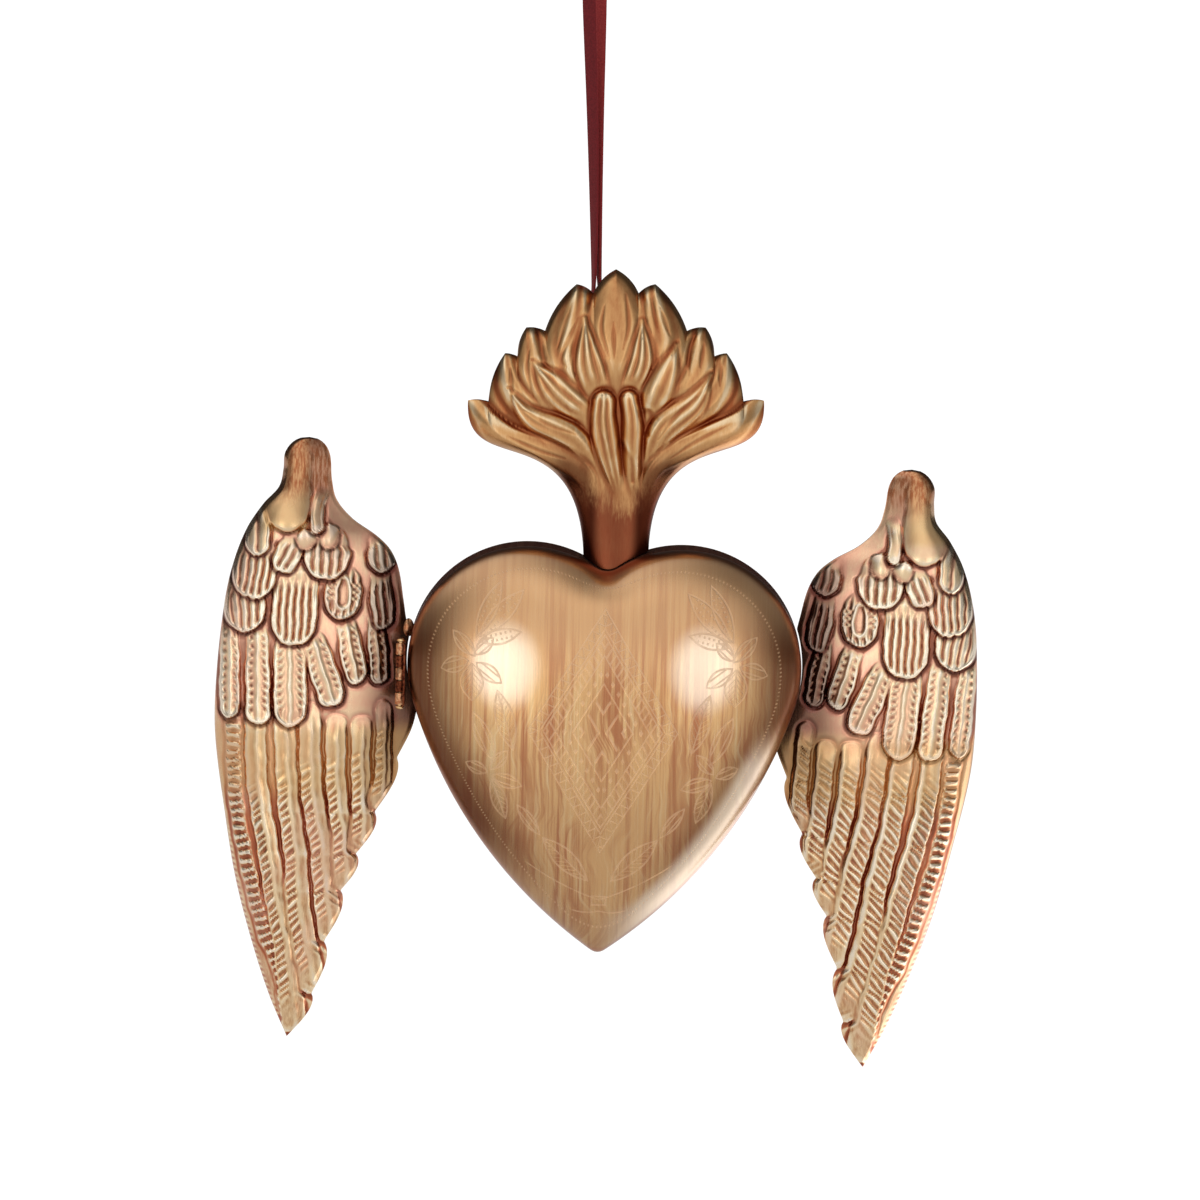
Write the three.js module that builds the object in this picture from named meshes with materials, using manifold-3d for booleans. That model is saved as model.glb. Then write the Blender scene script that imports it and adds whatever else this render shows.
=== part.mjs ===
// A metal heart ornament: a hinged heart-shaped box of sheet brass with a hollow stamped flame in its
// notch, a stamped wing on each side and a ribbon loop to hang it by.
// Millimetres. +Z is up and the front faces -Y. The origin is the inside top of the ribbon loop.
// The heart, the wings and the flame are first placed about the heart's own centre, in the plane of
// the seam between lid and box, and the whole ornament then hangs from the origin.
import * as THREE from 'three';
import { mergeVertices } from 'three/addons/utils/BufferGeometryUtils.js';
import Module from 'manifold-3d';

const wasm = await Module();
wasm.setup();

// Sheet and seams
const SHEET = 0.7; // thickness of the brass sheet
const SEAM = 0.3; // open line between the closed lid and the box
const SOLDER = 0.3; // gap that solder fills between two soldered pieces
const FIT = 0.35; // running gap between the lid's band and the box wall

// Outline of the heart, made of arcs, measured from its centre
const HEART_HALF_WIDTH = 43.6;
const LOBE_TOP = 34.4; // height of the lobes above the centre
const TIP_DROP = 56.4; // depth of the tip below the centre
const LOBE_RADIUS = 26.5;
const FLANK_RADIUS = 106; // the long gentle arc from lobe to tip
const NOTCH_RADIUS = 4.5; // fillet between the two lobes
const EDGE_SOFTENING = 1.5; // degrees over which the outline's corners are rounded

// Box and lid
const LID_RISE = 12.5; // height of the lid's dome
const DISH_RISE = 12.5; // depth of the back's dome
const DOME_FULLNESS = 2.1; // 2 is an ellipse, more is fuller
const DOME_SPREAD = 75; // degrees over which the notch fades out towards the crown of a dome
const WALL_DEPTH = 9.5; // depth of the box wall
const BAND_SHORT = 0.5; // how far the lid's band stops short of the dish
const BAND_TUCK = 0.5; // how far the band reaches up inside the lid
const BAND_TAPER = 2.5; // how far the band's rim draws in
const DIMPLE_RADIUS = 1.3;
const DIMPLE_PROUD = 1.1; // height of a catch dimple on the band
const DIMPLE_SETBACK = 3.2; // from the band's rim to the middle of a dimple
const DIMPLE_ANGLES = [0, 138]; // degrees round the heart from the notch, clockwise from the front

// Hinge on the left side of the heart
const HINGE_LENGTH = 13.8;
const HINGE_HEIGHT = 5.3; // middle of the barrel above the heart's centre
const KNUCKLES = 5;
const KNUCKLE_GAP = 0.15;
const BARREL_RADIUS = 1.1;
const BARREL_STANDOFF = 0.35; // gap between the barrel and the heart
const LEAF_THICKNESS = 0.5;
const BOX_LEAF_WIDTH = 4.6;
const LID_LEAF_WIDTH = 2.6;
const LEAF_RELIEF = 0.25; // gap round the other leaf's knuckles
const PIN_RADIUS = 0.5;
const PIN_CLEARANCE = 0.08;
const PIN_HEAD_RADIUS = 0.95;
const PIN_HEAD_HEIGHT = 0.9;

// Flame, measured from the middle of its stem's foot
const STEM_HALF_WIDTH = 7.2;
const STEM_HALF_DEPTH = 3.9;
const CROWN_HALF_DEPTH = 6.4;
const FLAME_SIDEWAYS = 1.9; // the foot sits a little to the right of the notch
const FLAME_FOOT = 33.7; // height of the foot above the heart's centre
const FLAME_LEAN = 1.4; // degrees, top to the left
const STEM_REACH = 4.6; // how far the stem reaches down into the notch before it is cut to the wall
const STEM_WAIST = 6.5; // half width that the stem's fibres draw in to
const FIBRE_RISE = 20; // how far a middle fibre climbs before it spreads
const FIBRE_EXTRA = 12; // how much more an outer fibre climbs
const TONGUE_RUN = 19; // length over which a fibre turns upright into its tip
const TONGUE_RIDGE = 0.8; // height of the ridges of the flame's tongues
const FRONT_TIER = 0.6; // share of the way up where the nearer tier of tongues ends
const FRONT_TIER_PROUD = 0.9; // how far the nearer tier stands out
const FRONT_TIER_POINT = 0.07; // how much further its tongues reach than the grooves between them
// Right half of the crown's edge from the middle tip outwards: tip, notch, tip and so on.
const CROWN_EDGE = [
  [0, 62.1], [5.0, 56.8], [8.7, 58.8], [15.7, 48.4], [19.8, 49.2],
  [21.7, 42.6], [24.5, 43.5], [28.1, 32.7], [32.7, 33.0],
];
const TONGUE_BELLY = 0.9; // how far the side of a tongue swells between tip and notch

// Wings, measured outward from the side of the heart and up from its centre
const WING_EDGE_SETBACK = 0.6; // from the back of the box wall to the wing's edge
const WING_BELLY = 5.4; // how far the wing's middle stands in front of its edge
const WING_OUTER_EDGE = [
  [23.2, 55.2], [27.2, 54.0], [28.5, 51.5], [28.6, 47.8], [29.4, 43.7], [32.6, 39.8], [36.0, 34.0],
  [38.6, 26.0], [40.0, 17.5], [40.9, 2.0], [40.5, -12.0], [37.1, -31.0], [34.1, -44.6], [29.8, -58.3],
  [25.2, -70.3], [20.8, -79.3],
];
const WING_INNER_EDGE = [
  [23.2, 55.2], [19.6, 53.8], [18.3, 51.2], [17.7, 46.0], [16.3, 41.5], [12.5, 37.5], [7.2, 34.2],
  [3.9, 31.2], [1.8, 27.0], [0.3, 20.0], [-0.8, 15.0], [-3.5, 9.0], [-4.2, 0], [-3.3, -7.7], [-0.1, -15.4],
];
const WING_NOTCHES = [
  [-0.1, -15.4], [4.2, -27.8], [7.8, -37.4], [10.7, -45.8], [13.8, -57.5], [15.9, -69.4], [20.8, -79.3],
];
const SCALLOP_BULGE = 1.6; // how far each feather's end swells past the line between two notches
// Feathers stamped in the wing: centre lines from root to end, and half widths in the same order.
// The long ones run down to the tip and the scallops, and the short ones lie over their roots like
// tiles, the lowest row first.
const LONG_FEATHERS = [
  [[36.8, -6], [35.0, -25.7], [31.4, -41.1], [26.6, -56.2], [23.1, -63.8], [20.9, -75]],
  [[31.6, -6], [30.4, -21.2], [26.2, -37.7], [24.6, -47.6], [21.8, -56.8], [19.2, -70]],
  [[25.2, -6], [23.0, -25.2], [20.6, -37.3], [19.4, -50], [17.6, -61]],
  [[19.8, -6], [18.0, -22.7], [14.6, -34.5], [13.4, -43], [14.8, -52]],
  [[13.6, -8], [12.8, -22], [10.4, -34], [11.4, -42]],
  [[8.2, -8], [8.0, -18], [7.0, -28], [8.0, -34]],
  [[3.4, -6], [3.4, -14], [4.6, -23]],
];
const LONG_HALF_WIDTHS = [1.6, 1.7, 1.8, 1.8, 1.6, 1.6, 1.5];
const SHORT_FEATHERS = [
  [[38.3, 12], [37.4, -5.6]], [[32.2, 12], [31.0, -6.0]], [[24.9, 11], [23.9, -5.2]],
  [[19.3, 10], [15.2, -1.0]], [[12.5, 14], [9.9, 3.8]], [[6.3, 16], [4.6, 3.6]],
  [[5.8, 25], [4.5, 16]], [[24.2, 24], [24.2, 14.3]], [[13.6, 24], [13.7, 19.6]],
  [[35.8, 21], [35.3, 16.2]], [[33.2, 29], [33.6, 24.2]], [[17.6, 32], [17.7, 29.2]],
  [[6.3, 33], [5.6, 29.2]], [[25.2, 32], [26.9, 28.2]], [[34.0, 40], [33.2, 31.6]],
  [[22.5, 33.6], [22.5, 32.8]], [[17.2, 34.6], [17.2, 33.2]], [[19.8, 43.2], [20.2, 35.8]],
  [[27, 50], [27, 39.6]],
];
const SHORT_HALF_WIDTHS = [
  2.2, 2.7, 3.7, 3.0, 2.6, 2.1, 2.5, 5.1, 4.1, 4.7,
  5.1, 5.1, 2.9, 2.9, 2.7, 2.0, 2.0, 1.5, 4.7,
];
const LONG_RISE = 0.75; // of a long feather over the sheet
const SHORT_ROOT_RISE = 0.7; // of a short feather at its root
const SHORT_END_RISE = 1.15; // and at its end
const CROWN_RISE = 0.2; // of the middle of a broad feather over its edges
const CROWNED_FROM = 3.2; // half width from which a feather is a broad one
const FEATHER_LIP = 0.94; // share of the half width where the feather's edge drops to the sheet
const FEATHER_ROOTING = 0.35; // how deep a feather is let into the sheet
const FEATHER_SETBACK = 0.3; // of a feather from the edges of the sheet
const FEATHER_FADE = 1.2; // near the edges of the sheet, the feathers are lower over this distance
const WING_FULL_WIDTH = 22; // where the wing is narrower than this, its arch is lower
const WING_PIVOT = 5; // height of the point that a wing is turned about
// Each wing was soldered on by eye: outward shift, lift and turn (tip outwards) of each.
const LEFT_WING = { side: -1, outward: 1.5, lift: 0.5, turn: 2.0 };
const RIGHT_WING = { side: 1, outward: -1.5, lift: -1.8, turn: -2.0 };

// Hanging staple and ribbon
const WIRE_RADIUS = 0.6;
const STAPLE_SIDEWAYS = -4.3; // from the middle of the flame
const STAPLE_HEIGHT = 54; // its top leg, above the foot of the flame
const STAPLE_SPAN = 5; // between its legs
const STAPLE_REACH = 5; // how far it stands out behind the flame
const STAPLE_BEND = 1.2;
const RIBBON_WIDTH = 3.2;
const RIBBON_THICKNESS = 0.6;
const RIBBON_PLAY = 0.15; // between the ribbon and the staple's leg
const RIBBON_LEAN = 1.4; // degrees from upright, to the left
const RIBBON_TURN = 90; // degrees that the loop turns about itself from the staple to the hook
// Right strand of the loop, from the staple's leg upwards: half the gap of the strands, height.
const RIBBON_STRAND = [
  [1.05, 4], [1.05, 12], [1.08, 21], [1.15, 30], [1.25, 39], [1.35, 48], [1.55, 57], [1.85, 66],
  [2.4, 75], [3.2, 83], [4.2, 90], [5.2, 96.5], [5.9, 102], [5.7, 106.5], [4.5, 110], [2.4, 112.2],
];
const RIBBON_TOP = 112.9;

// How finely the curved faces are divided
const ROUND_STEPS = 56; // round the heart
const DOME_STEPS = 7; // from crown to rim of a dome
const TONGUE_STEPS = 2; // between one tip and the next notch
const SCALLOP_ROWS = 3; // between two notches of a wing
const STUB_ROWS = [0, 0.9, 2.6, 5.2, 9, 12, 15, 18, 21, 24, 28]; // below the wing's top
const PLAIN_ROWS = 6; // between the wing's shoulder and its first notch
const WING_SIMPLIFY = 0.08; // shapes finer than this are left out of a wing
const BARREL_SIDES = 14;

const RAD = Math.PI / 180;

// Closed solids from grids of points

// A closed solid between two faces on one grid. face(i, j) and back(i, j) give points, i runs across
// and j along. With wrap, the grid closes on itself across. Edges that shrink to a point are allowed.
function plate(across, along, face, back, wrap = false) {
  const corners = [];
  const quad = (a, b, c, d) => corners.push(a, b, c, a, c, d);
  for (let j = 0; j < along; j += 1) {
    for (let i = 0; i < across; i += 1) {
      quad(face(i, j), face(i + 1, j), face(i + 1, j + 1), face(i, j + 1));
      quad(back(i, j), back(i, j + 1), back(i + 1, j + 1), back(i + 1, j));
    }
  }
  for (let i = 0; i < across; i += 1) {
    quad(face(i, 0), back(i, 0), back(i + 1, 0), face(i + 1, 0));
    quad(face(i, along), face(i + 1, along), back(i + 1, along), back(i, along));
  }
  if (!wrap) {
    for (let j = 0; j < along; j += 1) {
      quad(face(0, j), face(0, j + 1), back(0, j + 1), back(0, j));
      quad(face(across, j), back(across, j), back(across, j + 1), face(across, j + 1));
    }
  }
  return closedGeometry(corners);
}

// A closed section carried round a closed loop. point(i, k) is corner k of the section at step i.
function hoop(steps, corners, point) {
  const triangles = [];
  for (let i = 0; i < steps; i += 1) {
    for (let k = 0; k < corners; k += 1) {
      const next = (i + 1) % steps;
      const up = (k + 1) % corners;
      const [a, b, c, d] = [point(i, k), point(next, k), point(next, up), point(i, up)];
      triangles.push(a, b, c, a, c, d);
    }
  }
  return closedGeometry(triangles);
}

// Merges the shared corners, drops triangles that have shrunk to nothing and turns the faces outwards.
function closedGeometry(corners) {
  const soup = new THREE.BufferGeometry().setFromPoints(corners.map(([x, y, z]) => new THREE.Vector3(x, y, z)));
  const merged = mergeVertices(soup, 1e-4);
  const index = merged.index.array;
  const kept = [];
  for (let n = 0; n < index.length; n += 3) {
    const [a, b, c] = [index[n], index[n + 1], index[n + 2]];
    if (a !== b && b !== c && c !== a) kept.push(a, b, c);
  }
  merged.setIndex(kept);
  if (volumeOf(merged) < 0) {
    for (let n = 0; n < kept.length; n += 3) [kept[n], kept[n + 1]] = [kept[n + 1], kept[n]];
    merged.setIndex(kept);
  }
  return merged;
}

// The main body of a solid, without specks and with any sealed pocket filled.
function largestShell(solid) {
  return solid.decompose().sort((a, b) => b.volume() - a.volume())[0];
}

// The corners of an indexed geometry's triangles, one after another.
function cornersOf(geometry) {
  const { array } = geometry.attributes.position;
  return Array.from(geometry.index.array, (n) => [array[3 * n], array[3 * n + 1], array[3 * n + 2]]);
}

function volumeOf(geometry) {
  const at = (n) => new THREE.Vector3().fromBufferAttribute(geometry.attributes.position, geometry.index.array[n]);
  let sum = 0;
  for (let n = 0; n < geometry.index.count; n += 3) sum += at(n).dot(at(n + 1).cross(at(n + 2)));
  return sum / 6;
}

// Joins and cuts

function toSolid(geometry) {
  const bare = geometry.clone();
  bare.deleteAttribute('normal');
  bare.deleteAttribute('uv');
  const merged = mergeVertices(bare, 1e-4);
  return new wasm.Manifold(new wasm.Mesh({
    numProp: 3,
    vertProperties: new Float32Array(merged.attributes.position.array),
    triVerts: new Uint32Array(merged.index.array),
  }));
}

function toGeometry(solid) {
  const mesh = solid.getMesh();
  const geometry = new THREE.BufferGeometry();
  geometry.setAttribute('position', new THREE.BufferAttribute(new Float32Array(mesh.vertProperties), 3));
  geometry.setIndex(new THREE.BufferAttribute(new Uint32Array(mesh.triVerts), 1));
  return geometry;
}

// An upright cylinder between two heights.
function post(radius, low, high, x, y, sides = BARREL_SIDES) {
  const geometry = new THREE.CylinderGeometry(radius, radius, high - low, sides);
  geometry.rotateX(Math.PI / 2);
  geometry.translate(x, y, (low + high) / 2);
  return geometry;
}

function block(x0, x1, y0, y1, z0, z1) {
  const geometry = new THREE.BoxGeometry(x1 - x0, y1 - y0, z1 - z0);
  geometry.translate((x0 + x1) / 2, (y0 + y1) / 2, (z0 + z1) / 2);
  return geometry;
}

// A smooth height-to-distance curve through chosen points, listed from the top down.
function smoothEdge(points) {
  const slope = points.map((point, n) => {
    const before = points[Math.max(n - 1, 0)];
    const after = points[Math.min(n + 1, points.length - 1)];
    return (after[0] - before[0]) / (after[1] - before[1]);
  });
  return (z) => {
    let n = points.findIndex((point, k) => k > 0 && z >= point[1]);
    if (n < 0) n = points.length - 1;
    const [[x0, z0], [x1, z1]] = [points[n - 1], points[n]];
    const run = z1 - z0;
    const f = Math.min(Math.max((z - z0) / run, 0), 1);
    const [m0, m1] = [slope[n - 1] * run, slope[n] * run];
    return x0 * (2 * f ** 3 - 3 * f ** 2 + 1) + m0 * (f ** 3 - 2 * f ** 2 + f)
      + x1 * (3 * f ** 2 - 2 * f ** 3) + m1 * (f ** 3 - f ** 2);
  };
}

// Heart outline: notch fillet, lobe arc and flank arc on each side

const LOBE_X = HEART_HALF_WIDTH - LOBE_RADIUS;
const LOBE_Z = LOBE_TOP - LOBE_RADIUS;
const NOTCH_Z = LOBE_Z + Math.sqrt((LOBE_RADIUS + NOTCH_RADIUS) ** 2 - LOBE_X ** 2);
const FLANK = flankCentre();

// The flank arc is tangent to the lobe from inside and ends at the tip.
function flankCentre() {
  const toTip = [-LOBE_X, -TIP_DROP - LOBE_Z];
  const apart = Math.hypot(...toTip);
  const along = ((FLANK_RADIUS - LOBE_RADIUS) ** 2 - FLANK_RADIUS ** 2 + apart ** 2) / (2 * apart);
  const aside = Math.sqrt((FLANK_RADIUS - LOBE_RADIUS) ** 2 - along ** 2);
  const [ux, uz] = [toTip[0] / apart, toTip[1] / apart];
  return [LOBE_X + along * ux + aside * uz, LOBE_Z + along * uz - aside * ux];
}

// Distance from the centre to a circle along a ray, taking its far or its near side.
function rayToCircle(angle, cx, cz, radius, far) {
  const middle = cx * Math.sin(angle) + cz * Math.cos(angle);
  const reach = Math.sqrt(Math.max(middle ** 2 - cx ** 2 - cz ** 2 + radius ** 2, 0));
  return far ? middle + reach : middle - reach;
}

// Distance from the centre to the outline drawn in by inset, at an angle from the notch.
function sharpEdge(angle, inset) {
  const turn = Math.abs(Math.atan2(Math.sin(angle), Math.cos(angle)));
  const lobe = LOBE_RADIUS - inset;
  const toNotch = lobe / (LOBE_RADIUS + NOTCH_RADIUS);
  const notchEnd = Math.atan2(LOBE_X * (1 - toNotch), LOBE_Z + (NOTCH_Z - LOBE_Z) * toNotch);
  const toFlank = lobe / Math.hypot(LOBE_X - FLANK[0], LOBE_Z - FLANK[1]);
  const flankStart = Math.atan2(LOBE_X + (LOBE_X - FLANK[0]) * toFlank, LOBE_Z + (LOBE_Z - FLANK[1]) * toFlank);
  if (turn < notchEnd) return rayToCircle(turn, 0, NOTCH_Z, NOTCH_RADIUS + inset, false);
  if (turn < flankStart) return rayToCircle(turn, LOBE_X, LOBE_Z, lobe, true);
  return rayToCircle(turn, FLANK[0], FLANK[1], FLANK_RADIUS - inset, true);
}

// The same edge averaged over a spread of angles either side, in degrees.
function heartEdge(angle, inset = 0, spread = EDGE_SOFTENING) {
  const samples = 6;
  let sum = 0;
  for (let n = -samples; n <= samples; n += 1) sum += sharpEdge(angle + (spread * RAD * n) / samples, inset);
  return sum / (2 * samples + 1);
}

const roundAngle = (i) => ((i % ROUND_STEPS) * 2 * Math.PI) / ROUND_STEPS;

function heartPoint(i, inset, y) {
  const reach = heartEdge(roundAngle(i), inset);
  return [reach * Math.sin(roundAngle(i)), y, reach * Math.cos(roundAngle(i))];
}

// A point of a dome whose rim lies at height 0: share 0 is the crown and 1 the rim.
function domePoint(i, share, inset, rise) {
  const angle = roundAngle(i);
  const ring = Math.sin((share * Math.PI) / 2) ** (2 / DOME_FULLNESS);
  const height = rise * Math.max(Math.cos((share * Math.PI) / 2), 0) ** (2 / DOME_FULLNESS);
  const reach = ring * heartEdge(angle, inset, EDGE_SOFTENING + DOME_SPREAD * (1 - ring));
  return [reach * Math.sin(angle), share === 1 ? 0 : height, reach * Math.cos(angle)];
}

// A pressed dome of sheet. facing is -1 to the front and 1 to the back; seat is the plane of its rim.
function dome(rise, facing, seat) {
  const skin = (inset, height) => (i, j) => {
    const [x, y, z] = domePoint(i, j / DOME_STEPS, inset, height);
    return [x, seat + facing * y, z];
  };
  return plate(ROUND_STEPS, DOME_STEPS, skin(0, rise), skin(SHEET, rise - SHEET), true);
}

// The heart as a through-going block, drawn out by a margin: what is soldered on is cut to its shape.
function heartBlock(margin) {
  const deep = 60;
  const layer = (y) => (i, j) => {
    const [x, , z] = heartPoint(i, -margin, y);
    return [x * j, y, z * j];
  };
  return plate(ROUND_STEPS, 1, layer(-deep), layer(deep), true);
}

// Box and lid

function boxWall() {
  const section = [[0, 0], [SHEET, 0], [SHEET, WALL_DEPTH], [0, WALL_DEPTH]];
  return hoop(ROUND_STEPS, section.length, (i, k) => heartPoint(i, section[k][0], section[k][1]));
}

const BAND_BASE_INSET = SHEET + FIT;
const BAND_RIM_INSET = BAND_BASE_INSET + BAND_TAPER;
const BAND_RIM = WALL_DEPTH - BAND_SHORT;

function lidBand() {
  const section = [
    [BAND_BASE_INSET, -SEAM - BAND_TUCK], [BAND_BASE_INSET + SHEET, -SEAM - BAND_TUCK],
    [BAND_BASE_INSET + SHEET, 0], [BAND_RIM_INSET + SHEET, BAND_RIM], [BAND_RIM_INSET, BAND_RIM],
    [BAND_BASE_INSET, 0],
  ];
  let band = toSolid(hoop(ROUND_STEPS, section.length, (i, k) => heartPoint(i, section[k][0], section[k][1])));
  const y = BAND_RIM - DIMPLE_SETBACK;
  const inset = BAND_BASE_INSET + (BAND_TAPER * y) / BAND_RIM + DIMPLE_RADIUS - DIMPLE_PROUD;
  for (const degrees of DIMPLE_ANGLES) {
    const dimple = new THREE.SphereGeometry(DIMPLE_RADIUS, 10, 7);
    const reach = heartEdge(degrees * RAD, inset);
    dimple.translate(reach * Math.sin(degrees * RAD), y, reach * Math.cos(degrees * RAD));
    band = band.add(toSolid(dimple));
  }
  return toGeometry(band);
}

// Hinge

const HINGE_X = -(HEART_HALF_WIDTH + BARREL_STANDOFF + BARREL_RADIUS);
const HINGE_Y = -SEAM / 2;
const KNUCKLE_PITCH = HINGE_LENGTH / KNUCKLES;
const HINGE_LOW = HINGE_HEIGHT - HINGE_LENGTH / 2;

// One leaf with its knuckles. first is 0 or 1, its lowest knuckle; the others follow every second place.
function hingeLeaf(first, width, towards) {
  const leafX = HINGE_X + BARREL_RADIUS;
  const [y0, y1] = [HINGE_Y, HINGE_Y + towards * width].sort((a, b) => a - b);
  let leaf = toSolid(block(leafX - LEAF_THICKNESS, leafX, y0, y1, HINGE_LOW, HINGE_LOW + HINGE_LENGTH));
  for (let n = 0; n < KNUCKLES; n += 1) {
    const low = HINGE_LOW + n * KNUCKLE_PITCH;
    const own = n % 2 === first;
    const trim = own ? KNUCKLE_GAP / 2 : -KNUCKLE_GAP / 2;
    const radius = own ? BARREL_RADIUS : BARREL_RADIUS + LEAF_RELIEF;
    const knuckle = toSolid(post(radius, low + trim, low + KNUCKLE_PITCH - trim, HINGE_X, HINGE_Y));
    leaf = own ? leaf.add(knuckle) : leaf.subtract(knuckle);
  }
  const hole = post(PIN_RADIUS + PIN_CLEARANCE, HINGE_LOW - 1, HINGE_LOW + HINGE_LENGTH + 1, HINGE_X, HINGE_Y);
  return toGeometry(leaf.subtract(toSolid(hole)));
}

function hingePin() {
  const head = [[0, 1], [0.6, 0.8], [0.92, 0.4], [1, 0]];
  const end = (at, way) => head.map(([r, h]) => (
    new THREE.Vector2(r * PIN_HEAD_RADIUS, at + way * (KNUCKLE_GAP + h * PIN_HEAD_HEIGHT))
  ));
  const [low, high] = [-HINGE_LENGTH / 2, HINGE_LENGTH / 2];
  const profile = [
    ...end(low, -1), new THREE.Vector2(PIN_RADIUS, low - KNUCKLE_GAP),
    new THREE.Vector2(PIN_RADIUS, high + KNUCKLE_GAP), ...end(high, 1).reverse(),
  ];
  const pin = new THREE.LatheGeometry(profile, BARREL_SIDES);
  pin.rotateX(Math.PI / 2);
  pin.translate(HINGE_X, HINGE_Y, HINGE_HEIGHT);
  return pin;
}

// Flame: two stampings, back to back, whose fibres fan out from the stem into pointed tongues

const CROWN_STEPS = (CROWN_EDGE.length - 1) * TONGUE_STEPS;

// A point of the crown's edge: share runs from -1 at the left tip through 0 to 1 at the right tip.
function crownEdge(share) {
  const place = Math.abs(share) * (CROWN_EDGE.length - 1);
  const n = Math.min(Math.floor(place), CROWN_EDGE.length - 2);
  const f = place - n;
  const [[x0, z0], [x1, z1]] = [CROWN_EDGE[n], CROWN_EDGE[n + 1]];
  const length = Math.hypot(x1 - x0, z1 - z0);
  const belly = 4 * f * (1 - f) * TONGUE_BELLY * Math.min(length / 10, 1);
  const outward = [(z0 - z1) / length, (x1 - x0) / length];
  const x = x0 + (x1 - x0) * f + outward[0] * belly;
  return [Math.sign(share) * x, z0 + (z1 - z0) * f + outward[1] * belly];
}

// Where a fibre is at a share of its length: a cubic curve from the stem's foot to the crown's edge.
function fibrePoint(share, climb) {
  const [tipX, tipZ] = crownEdge(share);
  const curve = [
    [STEM_HALF_WIDTH * share, -STEM_REACH],
    [STEM_WAIST * share, FIBRE_RISE + FIBRE_EXTRA * share ** 2],
    [tipX + 1.3 * share, tipZ - TONGUE_RUN],
    [tipX, tipZ],
  ];
  const rest = 1 - climb;
  const weight = [rest ** 3, 3 * rest ** 2 * climb, 3 * rest * climb ** 2, climb ** 3];
  return [0, 1].map((axis) => curve.reduce((sum, point, n) => sum + weight[n] * point[axis], 0));
}

// How far the stamping stands out from the seam plane. Tongues of the nearer tier lie between the
// tongues of the crown's edge and end in front of them.
function flameDepth(share, climb, nearer) {
  const spread = Math.sin(Math.min(climb * 1.5, 1) * (Math.PI / 2)) ** 2;
  const swell = STEM_HALF_DEPTH + (CROWN_HALF_DEPTH - STEM_HALF_DEPTH) * spread;
  const round = Math.sqrt(Math.max(1 - share ** 2, 0)) * Math.sqrt(Math.max(1 - climb ** 5, 0));
  const ridges = Math.cos(8 * Math.PI * share) * TONGUE_RIDGE * Math.min(climb * 2, 1);
  const tier = nearer ? -ridges + FRONT_TIER_PROUD * Math.min(climb / FRONT_TIER, 1) : ridges;
  return Math.max(round * (swell + tier), 0);
}

// Rows up the flame: share of the way up, and whether the row belongs to the nearer tier.
const FLAME_ROWS = [
  [0, true], [0.14, true], [0.28, true], [0.4, true], [0.51, true], [FRONT_TIER, true],
  [FRONT_TIER + 0.03, false], [0.74, false], [0.82, false], [0.9, false], [0.96, false], [1, false],
];

function flameHalf(facing) {
  const top = FLAME_ROWS.length - 1;
  const skin = (inner) => (i, j) => {
    const share = i / CROWN_STEPS - 1;
    const [level, nearer] = FLAME_ROWS[j];
    const pointed = Math.abs(level - FRONT_TIER) < 0.1 ? FRONT_TIER_POINT : 0;
    const climb = level + pointed * (0.5 - Math.cos(8 * Math.PI * share) / 2);
    const [x, z] = fibrePoint(share, climb);
    const shrink = inner ? 1 - SHEET / fibrePoint(1, climb)[0] : 1;
    const depth = Math.max(flameDepth(share, climb, nearer) - (inner ? SHEET : 0), 0);
    return [x * shrink, facing * depth, z - (inner && j === top ? SHEET : 0)];
  };
  return plate(2 * CROWN_STEPS, top, skin(false), skin(true));
}

// Stands the flame's geometry on the heart and cuts its foot to the box wall.
function onHeart(geometry) {
  geometry.rotateY(-FLAME_LEAN * RAD);
  geometry.translate(FLAME_SIDEWAYS, WALL_DEPTH / 2, FLAME_FOOT);
  return geometry;
}

function copedToHeart(geometry) {
  return toGeometry(toSolid(geometry).subtract(toSolid(heartBlock(SOLDER))));
}

// Wings

const outerEdge = smoothEdge(WING_OUTER_EDGE);
const plainInnerEdge = smoothEdge(WING_INNER_EDGE);
const WING_TOP = WING_OUTER_EDGE[0][1];
const WING_TIP = WING_OUTER_EDGE[WING_OUTER_EDGE.length - 1][1];
const WING_EDGE_Y = WALL_DEPTH - WING_EDGE_SETBACK - SHEET;

// The inner edge: smooth down to the first notch, then one scallop for each long feather.
function innerEdge(z) {
  if (z >= WING_NOTCHES[0][1]) return plainInnerEdge(z);
  let n = WING_NOTCHES.findIndex((notch) => z >= notch[1]);
  if (n < 1) n = WING_NOTCHES.length - 1;
  const [[x0, z0], [x1, z1]] = [WING_NOTCHES[n - 1], WING_NOTCHES[n]];
  const f = (z - z0) / (z1 - z0);
  return x0 + (x1 - x0) * f - SCALLOP_BULGE * Math.sin(Math.PI * Math.max(f, 0) ** 0.7);
}

// Where the columns of the sheet's grid run, as shares of its width from the outer edge. They are
// closer together at the edge, where the arch is steep.
const WING_SHARES = [0, 0.025, 0.08, 0.18, 0.33, 0.5, 0.68, 0.85, 1];

// Heights of the grid's rows, from the top down.
function wingRows() {
  const first = WING_NOTCHES[0][1];
  const rows = STUB_ROWS.map((down) => WING_TOP - down);
  const rest = rows[rows.length - 1] - first;
  for (let n = 1; n < PLAIN_ROWS; n += 1) rows.push(first + rest * (1 - n / PLAIN_ROWS));
  for (let n = 1; n < WING_NOTCHES.length; n += 1) {
    const [z0, z1] = [WING_NOTCHES[n - 1][1], WING_NOTCHES[n][1]];
    for (let k = 0; k < SCALLOP_ROWS; k += 1) rows.push(z0 + ((z1 - z0) * k) / SCALLOP_ROWS);
  }
  rows.push(WING_TIP);
  return rows;
}

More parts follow.
